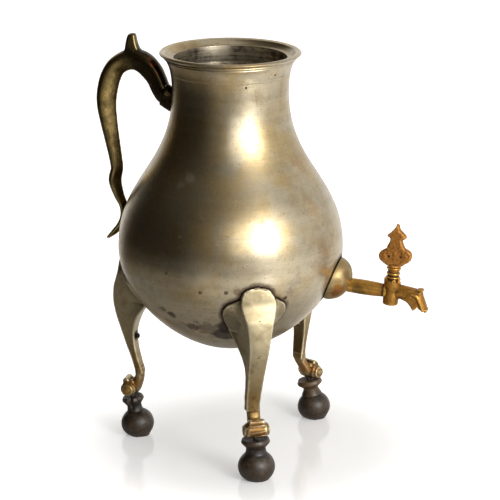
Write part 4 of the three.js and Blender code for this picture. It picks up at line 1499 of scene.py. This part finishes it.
@dataclass
class Tap:
    """The tap: boss, pipe, barrel with its spout, and the plug with its key."""

    vessel: Vessel
    height: float = 148.0
    boss_radius: float = 18.2
    boss_depth: float = 15.4
    boss_wall: float = 2.0
    boss_sink: float = 2.0
    boss_droop: float = 26.0
    reach: float = 46.2
    drop: float = 8.3
    slope: float = 5.2
    pipe_radius: float = 5.4
    pipe_bore: float = 3.0
    barrel_top: float = 11.6
    barrel_bottom: float = 10.5
    top_radius: float = 6.9
    bottom_radius: float = 6.2
    shoulder_height: float = 3.1
    screw_hole: float = 3.9
    bore_low: float = 4.8
    bore_high: float = 5.2
    notch_depth: float = 3.4
    stop_angle: float = -73.0
    pin_gap: float = 1.4
    pin_circle: float = 4.9
    stem_top: float = 20.6
    washer_thickness: float = 0.9
    head_outline: tuple[Pair, ...] = (
        (8.0, 6.2), (13.4, 6.3), (20.0, 5.4), (22.3, 5.4), (24.8, 5.7), (25.9, 4.9), (25.5, 2.6),
        (26.8, -0.8), (28.8, -5.0), (30.6, -9.2), (31.0, -10.9), (30.2, -12.0), (27.0, -12.4),
        (24.4, -11.7), (22.1, -10.4), (21.2, -11.5), (19.2, -13.2), (18.4, -12.8), (16.5, -10.1),
        (14.2, -7.4), (11.5, -5.8), (8.0, -5.2))
    key_outline: tuple[Pair, ...] = (
        (-5.0, 20.95), (-6.4, 21.6), (-9.6, 23.2), (-12.4, 25.8), (-13.4, 28.4), (-13.0, 30.9),
        (-11.2, 33.3), (-7.6, 35.1), (-7.5, 37.0), (-6.4, 39.1), (-5.1, 43.7), (-7.7, 45.4),
        (-8.2, 46.3), (-7.0, 47.6), (-4.6, 49.4), (-2.4, 51.6), (-2.0, 53.8), (-1.5, 56.2),
        (-0.6, 56.85), (0.3, 56.8), (1.5, 54.0), (2.0, 52.0), (4.6, 50.4), (7.3, 47.7),
        (8.0, 46.1), (6.6, 44.7), (4.4, 43.9), (5.3, 41.6), (7.2, 37.3), (10.4, 36.3),
        (12.9, 34.4), (13.8, 31.7), (13.1, 28.2), (10.7, 25.4), (7.2, 23.3), (5.6, 21.0))
    flats: tuple[Triple, ...] = (
        (-0.7, -0.55, 0.6), (-0.2, -0.95, 0.35), (0.45, -0.8, 0.5), (-0.95, 0.1, 0.45),
        (0.2, -0.3, 0.95), (0.9, -0.2, 0.5), (0.5, 0.8, 0.4), (-0.4, 0.85, 0.5))

    @property
    def shoulder(self) -> float:
        """The height of the shoulder in the barrel that the plug stands on."""
        return self.shoulder_height - self.barrel_bottom

    def frame(self) -> Matrix:
        """Gives the tap's place: its origin is where the pipe's line crosses the plug's."""
        return posed((self.vessel.radius_at(self.height) + self.reach, 0, self.height - self.drop),
                     self.slope)

    def boss_frame(self) -> Matrix:
        """Gives the boss's place: its Z axis is the boss's own axis."""
        return posed((self.vessel.radius_at(self.height) - self.boss_sink, 0, self.height),
                     90 + self.boss_droop)

    def boss(self) -> Form:
        """Gives the hollow dome, dressed with the hammer into broad flats.

        Returns:
            The dome on its own axis.
        """
        inner, depth = self.boss_radius - self.boss_wall, self.boss_depth - self.boss_wall
        outline = [(self.boss_radius, -3),
                   *arc((0, 0), (self.boss_radius, self.boss_depth), 0, 90, 30), (0, depth),
                   *arc((0, 0), (inner, depth), 90, 0, 16), (inner, -3)]
        flats = [Vector(v).normalized() for v in self.flats]

        def flattened(p: Vector) -> Vector:
            """Moves a point half way in to the flat that it lies outside of.

            Args:
                p: The point, in the boss's frame.

            Returns:
                The moved point.
            """
            if p.length < inner or p.z < 0:
                return p
            way = p.normalized()
            cut = min(0.965 * p.length / max(way.dot(flat), 0.2) for flat in flats)
            return way * 0.5 * (p.length + cut) if cut < p.length else p

        return Form.turned(outline, 128, closed=True).shifted(flattened)

    def pipe(self) -> Form:
        """Gives the pipe, a little swollen in its middle.

        Returns:
            The pipe along +X.
        """
        start, radius, bore = self.boss_depth - 6.2 - self.reach, self.pipe_radius, self.pipe_bore
        outline = traced(
            (bore, start), (radius + 0.25, start),
            (radius + 1.3, start * 0.55, radius - 0.2, -6.2, 20),
            (radius + 0.5, -5.9, radius + 0.5, -5.2, 4), (radius, -3), (bore, -3))
        return Form.turned(outline, 72, closed=True).moved(posed((0, 0, 0), 90))

    def barrel(self) -> Form:
        """Gives the barrel and its spout, a beast's head with an open mouth.

        Returns:
            The solid casting, before anything is cut from it.
        """
        low, top, foot, crown = (-self.barrel_bottom, self.barrel_top, self.bottom_radius,
                                 self.top_radius)
        body = traced((0, low), (foot - 0.9, low), (foot, low, foot, low + 1, 4),
                      (crown, top - 0.9), (crown, top, crown - 0.6, top, 3), (0, top))
        head = Form.pillow(rounded(self.head_outline), 5.3, 3.0, 6)
        spout = Form.swept(((1, 0.9, 5.6), (6, 0.9, 5.9), (12, 0.5, 5.8), (17, -0.6, 5.4)),
                           36, 30, 5.5)
        cheek = Form.swept(((16.5, 1.6, 1.8), (21.0, 0.4, 2.6), (24.3, -4.6, 2.3),
                            (27.8, -11.2, 2.2)), 24, 30, 6.1)
        lip = Form.bar((29.4, -4.6, -10.9), (29.4, 4.6, -10.9), 1.5, 20, 0.8)
        brow = Form.swept(((21.0, 4.8, 0.8), (24.6, 5.2, 1.1), (25.6, 4.4, 0.9)), 16, 12, 4.4)
        return Form.turned(body, 72).with_also(spout, head, cheek, lip, brow)

    def notch(self) -> Form:
        """Gives the wedge of the notch that the stop pin runs in, with its worn run-out.

        Returns:
            The wedge that is cut from the barrel's rim.
        """
        deep, play = self.notch_depth, math.degrees(math.asin(self.pin_gap / self.pin_circle))
        start, end = self.stop_angle - play, self.stop_angle + 90 + play
        depths = [(start - 40, -0.2), (start - 26, 0.9), (start - 12, 2.2), (start, deep),
                  (end, deep)]
        angles = [start - 40 + (end - start + 40) * i / 48 for i in range(49)]
        wedge = [(0.0, 0.0), *(spoke(a, 14) for a in angles)]
        lows = [deep] + [float(np.interp(a, *zip(*depths))) for a in angles]
        return Form.lofted([
            [Vector((x, y, self.barrel_top - low)) for (x, y), low in zip(wedge, lows)],
            [Vector((x, y, self.barrel_top + 4)) for x, y in wedge]])

    def barrel_cuts(self) -> tuple[Form, ...]:
        """Gives what is cut from the barrel.

        Returns:
            Notch, plug bore, water way, mouth and the two slits of the jaw.
        """
        bore = [(0, -30), (self.bore_low, -30), (self.bore_low, self.shoulder),
                (self.screw_hole, self.shoulder), (self.bore_high, self.barrel_top),
                (self.bore_high, 30), (0, 30)]
        water = Form.swept(((0, 0, 3), (11, 0.4, 3), (17.5, -0.8, 3), (22, -5, 3.4),
                            (27.5, -16, 3.8)), 24, 30, share=1.0)
        mouth = traced((22.2, -8.4), (21.6, -9.4, 21.4, -11.4, 4), (21.0, -16), (26.4, -16),
                       (25.6, -11.6), (23.6, -9.6, 22.8, -8.4, 4))
        slit = Form.swept(((16.6, -3.6, 0.35), (16.4, -5.6, 0.5), (19.0, -7.4, 0.5),
                           (21.8, -9.0, 0.5)), 8, 16, 12.0)
        slits = [slit.moved(posed((0, side, 0))) for side in (-16.4, 16.4)]
        return self.notch(), Form.turned(bore, 72), water, Form.prism(mouth, 12), *slits

    def plug(self) -> Form:
        """Gives the plug: taper, collar, groove, rings and flared stem.

        Returns:
            The plug on its own axis.
        """
        low, top, stem = self.shoulder, self.barrel_top, self.stem_top
        return Form.turned(traced(
            (0, low), (3.6, low), (4.9, top + 0.3), (5.3, top + 0.3),
            (5.7, top + 0.4, 5.6, top + 0.9, 3), (5.5, top + 1.5, 4.5, top + 1.7, 4),
            (4.3, top + 2.1), (4.3, top + 2.6), (4.5, top + 3.0, 5.1, top + 3.1, 3),
            (5.7, top + 3.8, 5.2, top + 4.6, 4), (4.6, top + 5.0), (4.6, top + 5.5),
            (4.8, top + 5.9, 5.0, stem - 2.2, 4), (5.3, stem - 1.4, 5.7, stem - 1.1, 4),
            (6.0, stem - 0.5, 5.5, stem, 4), (0, stem)), 72)

    def key(self) -> Form:
        """Gives the flat cast key with its two lobes, waist, drooping arms and finial.

        Returns:
            The key in the tap's frame.
        """
        plate = Form.pillow(rounded(self.key_outline), 2.9, 2.0, 6)
        spine = Form.swept(((0, 21.2, 2.6), (0, 24, 3.8), (0, 29, 4.6), (0, 34, 4.4), (0, 38, 3.9),
                            (0, 43, 3.4), (0, 46.5, 4.2), (0, 50, 2.6), (0, 55.6, 1.2)),
                           28, 60, share=0.68)
        knob = Form.turned([(0, -3.3), *arc((0, 0), (5.2, 3.3), -88, 88, 14), (0, 3.3)], 40)
        knobs = [knob.moved(posed(spot, 90, "X")) for spot in ((-8.2, 0, 28.6), (8.3, 0, 30.4))]
        roof = Form.swept(((-7.4, 46.4, 0.7), (-4.4, 47.6, 1.5), (0, 48.6, 2.2), (4.2, 47.7, 1.6),
                           (7.3, 46.2, 0.7)), 20, 30, 1.3, 0.7)
        waist = Form.swept(((-7.2, 36.2, 0.8), (0, 35.6, 1.3), (6.8, 36.8, 0.8)), 16, 20, 2.9)
        foot = Form.turned([(0, 20.95), (4.6, 20.95), (4.9, 21.6), (4.2, 22.6), (0, 23.4)], 40)
        tang = Form.block((-3.2, self.stem_top - 4), (3.2, self.stem_top + 1.5), 1.5)
        return plate.with_also(spine, *knobs, roof, waist, foot, tang)

    def dimples(self) -> Form:
        """Gives the balls that punch small dimples in the key's lobes, on both faces.

        Returns:
            The balls in the tap's frame.
        """
        balls = []
        for x, z, radius in ((-4.9, 29.6, 1.3), (4.6, 30.2, 1.2), (-6.6, 31.6, 0.7),
                             (5.4, 33.2, 0.8)):
            ball = [(0, -radius), *arc((0, 0), (radius, radius), -90, 90, 8), (0, radius)]
            balls += [Form.turned(ball, 14).moved(posed((x, y, z))) for y in (-3.1, 3.1)]
        return balls[0].with_also(*balls[1:])

    def stop_pin(self) -> Form:
        """Gives the stop pin with a small centre mark in its end.

        Returns:
            The pin in the tap's frame.
        """
        outline = traced((0, 1.6), (1.1, 1.6), (1.1, 6.9), (1.55, 7.0), (1.6, 7.4),
                         (1.5, 7.8, 1.0, 7.8, 3), (0.65, 7.7), (0.4, 7.1), (0, 7.0))
        way = Vector((*spoke(self.stop_angle), 0))
        turn = UP.rotation_difference(way).to_matrix().to_4x4()
        return Form.turned(outline, 24).moved(posed((0, 0, 10.2)) @ turn)

    def washer(self) -> Form:
        """Gives the washer under the plug.

        Returns:
            A flat ring with a rounded edge.
        """
        top = self.shoulder - CLEARANCE
        low = top - self.washer_thickness
        return Form.turned([(1.4, low), (4.2, low), (4.4, low + 0.2), (4.4, top - 0.1),
                            (4.3, top), (1.4, top)], 48, closed=True)

    def screw(self) -> Form:
        """Gives the screw that holds the plug in.

        Returns:
            The screw with its head down.
        """
        top = self.shoulder - self.washer_thickness - 2 * CLEARANCE
        outline = traced((0, top - 1.0), (1.6, top - 1.0, 2.3, top - 0.3, 6), (2.3, top),
                         (1.1, top), (1.1, top + 5), (0, top + 5))
        return Form.turned(outline, 32)

    def build(self, pewter: Material, brass: Material,
              rough_brass: Material, iron: Material) -> None:
        """Makes all pieces of the tap.

        Args:
            pewter: The boss's finish.
            brass: The finish of pipe, barrel and plug.
            rough_brass: The key's finish.
            iron: The screw's finish.
        """
        frame = self.frame()
        boss = self.boss().moved(self.boss_frame())
        Piece("tap_dome", boss, ("tap_boss",), Slot.CAST_PEWTER, cuts=(self.vessel.trim(0.9),),
              sharp=60).build(pewter)
        Piece("water_pipe", self.pipe(), ("tap_pipe",), Slot.BRASS, sharp=60).build(brass, frame)
        Piece("barrel_and_spout", self.barrel(), ("tap_barrel",), Slot.BRASS, voxel=0.36, soften=2,
              cuts=self.barrel_cuts(), sharp=35).build(brass, frame)
        Piece("turned_plug", self.plug(), ("tap_plug",), Slot.BRASS, Body.PLUG, sharp=60
              ).build(brass, frame)
        Piece("cast_key", self.key(), ("tap_key",), Slot.BRASS, Body.PLUG, voxel=0.36, soften=3,
              cuts=(self.dimples(),), grain=(0.28, 2.2)).build(rough_brass, frame)
        Piece("stop_pin", self.stop_pin(), ("tap_stop_pin",), Slot.BRASS, Body.PLUG
              ).build(brass, frame)
        Piece("retaining_washer", self.washer(), ("plug_washer",), Slot.BRASS, Body.PLUG
              ).build(brass, frame)
        Piece("retaining_screw", self.screw(), ("plug_screw",), Slot.IRON, Body.PLUG
              ).build(iron, frame)


@dataclass(frozen=True)
class Photographer:
    """The camera's place, found from the photograph, in millimetres and degrees."""

    focal: float = 183.24
    sensor: float = 36.0
    farthest: float = 50.0
    distance: float = 1986.8
    height: float = 728.8
    azimuth: float = 14.0
    turn: float = 0.450
    tilt: float = 15.832

    def place(self) -> None:
        """Makes the camera and sets it as the scene's."""
        lens = bpy.data.cameras.new("photograph")
        lens.lens, lens.sensor_width, lens.clip_end = self.focal, self.sensor, self.farthest
        camera = put("photograph", lens)
        flat, fall = spoke(-self.tilt)
        ahead, right = spoke(self.turn, flat)
        around = Matrix.Rotation(math.radians(self.azimuth), 4, "Z")
        camera.location = VESSEL_PLACE @ (around @ Vector((0, -self.distance, self.height)))
        look = around.to_3x3() @ Vector((right, ahead, fall))
        camera.rotation_euler = look.to_track_quat("-Z", "Y").to_euler()
        bpy.context.scene.camera = camera


@dataclass(frozen=True)
class Lamp:
    """A soft box: where it stands as seen from the urn, its size and its power."""

    name: str
    azimuth: float
    elevation: float
    distance: float
    size: Pair
    watts: float
    aim: float = 0.17

    def place(self, camera_azimuth: float) -> None:
        """Makes the lamp, its azimuth counted from the camera to the right.

        Args:
            camera_azimuth: The camera's own azimuth, in degrees.
        """
        data = bpy.data.lights.new(self.name, "AREA")
        data.shape, data.size, data.size_y, data.energy = "RECTANGLE", *self.size, self.watts
        lamp = put(self.name, data)
        flat, rise = spoke(self.elevation)
        ahead, right = spoke(self.azimuth + camera_azimuth, flat)
        way = Vector((right, -ahead, rise))
        lamp.location = VESSEL_PLACE.translation + Vector((0, 0, self.aim)) + way * self.distance
        lamp.rotation_euler = (-way).to_track_quat("-Z", "Y").to_euler()


@dataclass(frozen=True)
class Tones:
    """How light the room is towards its four sides, as the metal mirrors it."""

    front: float
    right: float
    left: float
    behind: float


@dataclass(frozen=True)
class Studio:
    """The white sweep, the soft boxes and the room round them."""

    photographer: Photographer = Photographer()
    lamps: tuple[Lamp, ...] = (
        Lamp("key_softbox", 37, 18.5, 1.5, (0.44, 0.66), 9.0),
        Lamp("wide_softbox", 31, 20.5, 1.55, (1.6, 0.80), 10.5),
        Lamp("top_softbox", 50, 80, 1.8, (1.4, 1.4), 2.5),
    )
    walls: Tones = Tones(front=0.22, right=0.85, left=0.02, behind=1.6)
    ground: Tones = Tones(front=0.74, right=1.05, left=0.28, behind=1.3)
    # Painted shadow: the floor's tone under the urn, as the metal mirrors it and as light bounces
    # off it.
    under: float = 0.32
    above: float = 0.36
    floor: tuple[Row, ...] = ((-2.6, 0), (1.4, 0), (2.4, 0, 2.4, 1.0, 24), (2.4, 3.0))
    half_width: float = 3.2

    def sweep(self) -> None:
        """Makes the floor, which rises behind the urn into a backdrop."""
        profile = traced(*self.floor)
        points = [(x, y, z) for y, z in profile for x in (-self.half_width, self.half_width)]
        faces = [(i, i + 1, i + 3, i + 2) for i in range(0, len(points) - 2, 2)]
        mesh = bpy.data.meshes.new("sweep")
        mesh.from_pydata(points, [], faces)
        mesh.shade_smooth()
        mesh.materials.append(self._white())
        floor = put("sweep", mesh)
        floor.rotation_euler.z = math.radians(self.photographer.azimuth)

    def _level(self, tones: Tones, right: Value, ahead: Value) -> Value:
        """Works out how light the room is in a direction, as the metal mirrors it.

        Args:
            tones: The tones of the four sides.
            right: The direction's part to the camera's right.
            ahead: Its part away from the camera.

        Returns:
            The room's level in that direction.
        """
        flat = (right * right + ahead * ahead + 1e-6) ** 0.5
        side, depth = right / flat, ahead / flat
        level = tones.front + side.step(0.25, 0.85) * (tones.right - tones.front)
        level = level - side.step(-0.35, -0.8) * (tones.front - tones.left)
        back = depth.step(0.60, 0.86) * (1.0 - side.step(-0.35, -0.75) * 0.92)
        return level * (1.0 - back) + back * tones.behind

    @staticmethod
    def _dusk(look: Look, level: Value) -> Value:
        """Turns a level into a colour that is browner the darker it is."""
        return look.shade(level, level ** 1.05, level ** 1.14)

    def _white(self) -> Material:
        """Makes the sweep's material: white to the camera, light and dark in the metal's mirror.

        Returns:
            The finished material.
        """
        look = Look("white sweep")
        seen, mirrored = look.ray("Camera"), look.ray("Glossy")
        right, ahead, _ = look.parts(look.node("ShaderNodeTexCoord", output="Object"))
        near = (right * right + ahead * ahead) ** 0.5
        close = near.step(0.95, 0.34)
        level = (self._level(self.ground, right, ahead) * close
                 + self._level(self.walls, right, ahead) * (1.0 - close)) * 0.85
        # Painted shadow: near the urn's axis the floor's tone for rays other than the camera's
        # drops to the under level, in place of the urn's own shadow.
        level = level * near.step(0.07, 0.26) + near.step(0.26, 0.07) * self.under
        level = level.least(1.0)
        glow = (0.27 + 0.50 * near.step(0.08, 0.21)) * seen + 0.5 * level * mirrored
        colour = look.mix(seen, self._dusk(look, level), (0.86, 0.86, 0.855, 1))
        return look.dress(Base_Color=colour, Roughness=0.12, Emission_Strength=1.0,
                          Emission_Color=look.shade(glow, glow, glow))

    def room(self) -> None:
        """Makes the world: white to the camera, light and dark by its sides to the metal."""
        look = Look("room", world=True)
        turn = look.node("ShaderNodeVectorRotate", {"rotation_type": "Z_AXIS"}, {
            "Vector": look.node("ShaderNodeTexCoord", output="Generated"),
            "Angle": -math.radians(self.photographer.azimuth)})
        right, ahead, up = look.parts(turn)
        over = up.step(0.35, 0.95)
        level = (self._level(self.walls, right, ahead) * (1.0 - over)
                 + over * (0.3 + 0.7 * right.step(-0.5, 0.4)) * self.above)
        bpy.context.scene.world = look.dress(
            Color=look.mix(look.ray("Camera"), self._dusk(look, level), (1, 1, 1, 1)))

    def build(self) -> None:
        """Makes the whole studio."""
        self.photographer.place()
        self.sweep()
        self.room()
        for lamp in self.lamps:
            lamp.place(self.photographer.azimuth)
        bpy.context.scene.view_settings.view_transform = "Standard"
        LOG.info("studio: camera, sweep, room and %d lamps", len(self.lamps))


VESSEL_STAINS_AND_SHADOW = colour_spots(
    (-19.7, -84.4, 197.9, 1.8, 0.8, 0.3, "2a1a0e"), (-30.9, -85.5, 168.2, 2.2, 0.7, 0.4, "33200f"),
    (-2.7, -88.8, 154.8, 2.4, 0.75, 0.4, "3a2412"), (17.9, -87.3, 155.9, 2.9, 0.8, 0.5, "4a2a10"),
    (-30.7, -69.7, 129, 7, 0.75, 1.1, "2c1e14"), (-38, -70, 133, 5, 0.5, 1.1, "3a2818"),
    (-1.2, -67, 117.9, 14, 0.55, 1.9, "4a2a10"), (-14, -66, 120, 8, 0.6, 1.6, "2e1e10"),
    # Painted shadow: the two near-black spots on the next row paint the front leg's shadow on the
    # bowl, mixed with soot.
    (15, -70, 121, 15, 0.9, 0.25, "1a0f08"), (10, -62, 113, 15, 0.8, 0.3, "20130a"),
    (26, -84, 156.5, 5.5, 0.5, 0.8, "5a3614"), (51.2, -72.5, 155.5, 4.5, 0.45, 0.8, "5f3c1c"),
    (54.7, -66.8, 147.5, 2.8, 0.9, 0.8, "382010"), (59.8, -62.6, 147.6, 2.6, 0.9, 0.8, "382010"),
    (66.9, -60.4, 160.4, 9, 0.16, 1.6, "4a3420"), (60, -60, 152, 7, 0.4, 1.4, "5a3c20"),
    (-17.4, -61.4, 239.7, 6.5, 0.16, 1, "1c1208"), (-24, -60, 232, 7, 0.12, 1, "2a1c0c"),
    (60.2, -13.8, 243.2, 10, 0.32, 1, "9c6a3c"), (74, -30, 212, 12, 0.30, 1, "a87848"),
    (81, -41.1, 172.3, 10, 0.14, 1, "a87c50"), (88, -14, 158, 8, 0.25, 1, "6a4424"),
    (42.1, -24.7, 317.3, 1.5, 0.9, 0.3, "2a1c10"), (22.9, -41.5, 309.5, 1.5, 0.9, 0.3, "2a1c10"),
    (30, -35, 300, 10, 0.22, 1.2, "5a4420"))
LEG_STAINS_AND_SHADE = colour_spots(
    (-79.5, -1, 88.4, 6, 0.97, 0.2, "160e08"), (-71, -5, 112.5, 9, 0.85, 0.4, "a05a1c"),
    (-77.2, -4, 118.7, 2.6, 0.9, 0.4, "1a1008"), (-78, -6, 72, 6, 0.4, 0.8, "8a6a2c"),
    (-76.8, -5, 60, 8, 0.5, 0.8, "8a6a2c"), (-86.9, -9, 42.9, 9, 0.65, 0.6, "a8803a"),
    # Painted shade: the second spot on the next row and the first on the row after darken the front
    # leg's left lobe, shade mixed with soot.
    (-80, -6, 48, 8, 0.6, 0.8, "96682a"), (20, -78.5, 129, 16, 0.5, 0.3, "3c3222"),
    (17, -80, 140, 9, 0.4, 0.6, "4a4030"), (43.2, -82.4, 104.6, 3.4, 0.65, 1.2, "4a3018"),
    (40.3, -83.8, 99.9, 2.6, 0.65, 1.2, "4a3018"), (45.3, -81.3, 110, 2.6, 0.4, 1.2, "5a3c1c"),
    (38.1, -84.9, 91.8, 4, 0.35, 1.2, "5f421e"), (39.5, -88.7, 146.4, 0.9, 0.9, 0.2, "2a1c10"),
    (40.5, -88.2, 142.7, 0.9, 0.9, 0.2, "2a1c10"), (44.8, -86, 134.2, 1, 0.9, 0.2, "2a1c10"),
    (53.4, -81.7, 139.6, 1.2, 0.9, 0.2, "2a1c10"), (37.9, -77.2, 66, 5, 0.5, 1.2, "6f4c20"),
    (39.4, -76.5, 55.8, 4.5, 0.7, 1.2, "4a3014"), (41.5, -84, 44.5, 12, 0.75, 0.7, "6f4a20"),
    (46.5, -80.5, 38, 6, 0.6, 0.7, "86541c"), (47.3, 68.8, 47.5, 9, 0.65, 0.7, "96622a"),
    (56.1, 68.2, 45.8, 7, 0.6, 0.6, "ac7236"), (43.5, 66, 75.8, 22, 0.25, 0.8, "6a5226"))
HANDLE_STAINS_AND_HIGHLIGHT = colour_spots(
    (-61, -7, 317.6, 4.5, 0.85, 0.7, "7a3a1c"), (-64.5, -6, 322.3, 3.2, 0.7, 0.7, "6f3a20"),
    (-58.6, -7, 310.4, 3, 0.6, 0.8, "5a2c16"), (-79.7, -5, 334.5, 10, 0.6, 0.5, "8a774c"),
    # Painted highlight: the next four light gold spots paint a long streak down the outer bow where
    # a lamp's highlight falls.
    (-104.5, -8, 289.8, 8, 0.5, 0.4, "c0a468"), (-105.5, -8, 276.5, 8, 0.5, 0.4, "c4a86c"),
    (-104, -8, 263.2, 7, 0.5, 0.4, "c0a468"), (-101.7, -8, 250, 6, 0.45, 0.4, "b4985c"))
BRASS_STAINS = colour_spots(
    (106, -4, 141, 7, 0.6, 0.8, "665236"), (118, -5, 132.5, 6.5, 0.6, 0.8, "b5651d"),
    (110, -5.5, 137.5, 5.5, 0.5, 0.7, "57451c"), (126, -5, 134, 4, 0.5, 0.7, "a85c18"),
    (139, -5, 134, 7, 0.45, 0.9, "5f4318"), (136.5, -6.5, 141.5, 4, 0.5, 0.8, "4a300f"))
BOSS_STAINS = colour_spots(
    (93, -14, 141, 11, 0.8, 0.6, "85501a"), (100, -8, 136, 8, 0.5, 0.8, "86602e"),
    (94, -14, 133.5, 1, 0.9, 0.2, "2a1a0c"), (99, -11, 131.5, 1.1, 0.9, 0.2, "2a1a0c"))
FRONT_LOBES = ((0, 1.4, 0), (0.25, 1.6, 0), (0.42, 0.6, 0.4), (0.6, -0.4, 1.5), (0.8, -0.6, 2.3),
               (0.9, -0.7, 1.8), (0.97, 0, 0.5), (1, 0, 0))


def line_inside(mesh: bpy.types.Mesh, vessel: Vessel) -> None:
    """Gives the inner faces of a shell their own dull finish.

    Args:
        mesh: The shell's mesh, with the inner finish as second material.
        vessel: The vessel, whose outline parts inside from outside.
    """
    back = VESSEL_PLACE.inverted()
    for face in mesh.polygons:
        middle = back @ face.center
        low, high, limit = vessel.seam, vessel.top - vessel.dull_depth, vessel.dull_radius
        if middle.z < vessel.seam:
            low, high = vessel.bottom + vessel.wall / 2, vessel.seam
            limit = vessel.radius_at(middle.z) - vessel.wall / 2
        if low <= middle.z < high and middle.xy.length < limit:
            face.material_index = 1


def main() -> None:
    """Builds the studio and every sub-assembly in order."""
    logging.basicConfig(level=logging.INFO, format="%(name)s: %(message)s")
    Studio().build()
    vessel = Vessel()
    tap = Tap(vessel)
    pewter = Pewter(colour_spots=VESSEL_STAINS_AND_SHADOW).material()
    inside = InnerPewter().material()
    cast = Casting("cast pewter", bright="e6dab8", base="b0a384", patina="8a7650", hollow="2c2015",
                   low_tint="8f7344", roughness=0.43, metallic=0.92, relief=0.24,
                   colour_spots=LEG_STAINS_AND_SHADE).material()
    dome = Casting("boss pewter", bright="b39c70", base="917c55", patina="86602e", hollow="33281c",
                   patch=9.0, roughness=0.54, grain=0.2, colour_spots=BOSS_STAINS).material()
    bronze = Casting("dark bronze", bright="b09e70", base="86744a", patina="3a2c1c",
                     hollow="0e0906", roughness=0.27, patch=24.0, patched=0.6, relief=0.3,
                     grain=0.05, side_tint="120c08", colour_spots=HANDLE_STAINS_AND_HIGHLIGHT).material()
    brass = Casting("tap brass", bright="d8a850", base="ab7a34", patina="7c5220", hollow="2a1808",
                    roughness=0.38, metallic=0.85, patch=6.0, patched=0.8,
                    colour_spots=BRASS_STAINS).material()
    rough_brass = Casting("key brass", bright="cc9648", base="a9722f", patina="8a5420",
                          hollow="3a220c", roughness=0.56, metallic=0.6, patch=4.0, grain=0.35,
                          patched=0.7).material()
    wood = Wood().material()
    iron = Iron().material()

    skin = Piece("vessel_skin", vessel.skin(), ("lower_body", "upper_body"), Slot.PEWTER,
                 cuts=(vessel.strainer(tap.boss_frame()),)).build(pewter)
    rim = Piece("cast_rim", vessel.rim(), ("mouth_rim",), Slot.PEWTER, sharp=30).build(pewter)
    for shell in (skin, rim):
        shell.data.materials.append(inside)
        line_inside(shell.data, vessel)
    Handle(vessel).build(bronze)
    for leg in (Leg(vessel, "front", -63, 1, 0, 2, FootKind.STOUT, FRONT_LOBES),
                Leg(vessel, "rear", 61, 6, -6, 10, FootKind.SLIM),
                Leg(vessel, "handle_side", 180, 0, 0, 10, FootKind.PEAR)):
        leg.build(cast, wood)
        peg = frame["nodes"][f"foot_peg_{leg.name}"]
        peg.data.materials.clear()
        peg.data.materials.append(iron)
    tap.build(dome, brass, rough_brass, iron)
    standing = [bpy.data.objects[name] for name in (
        "casting_front", "casting_rear", "casting_handle_side", "tap_dome", "neck_socket",
        "scroll_handle")]
    for shell in (skin, rim):
        mark_contacts(shell, standing)


if __name__ == "__main__":
    main()
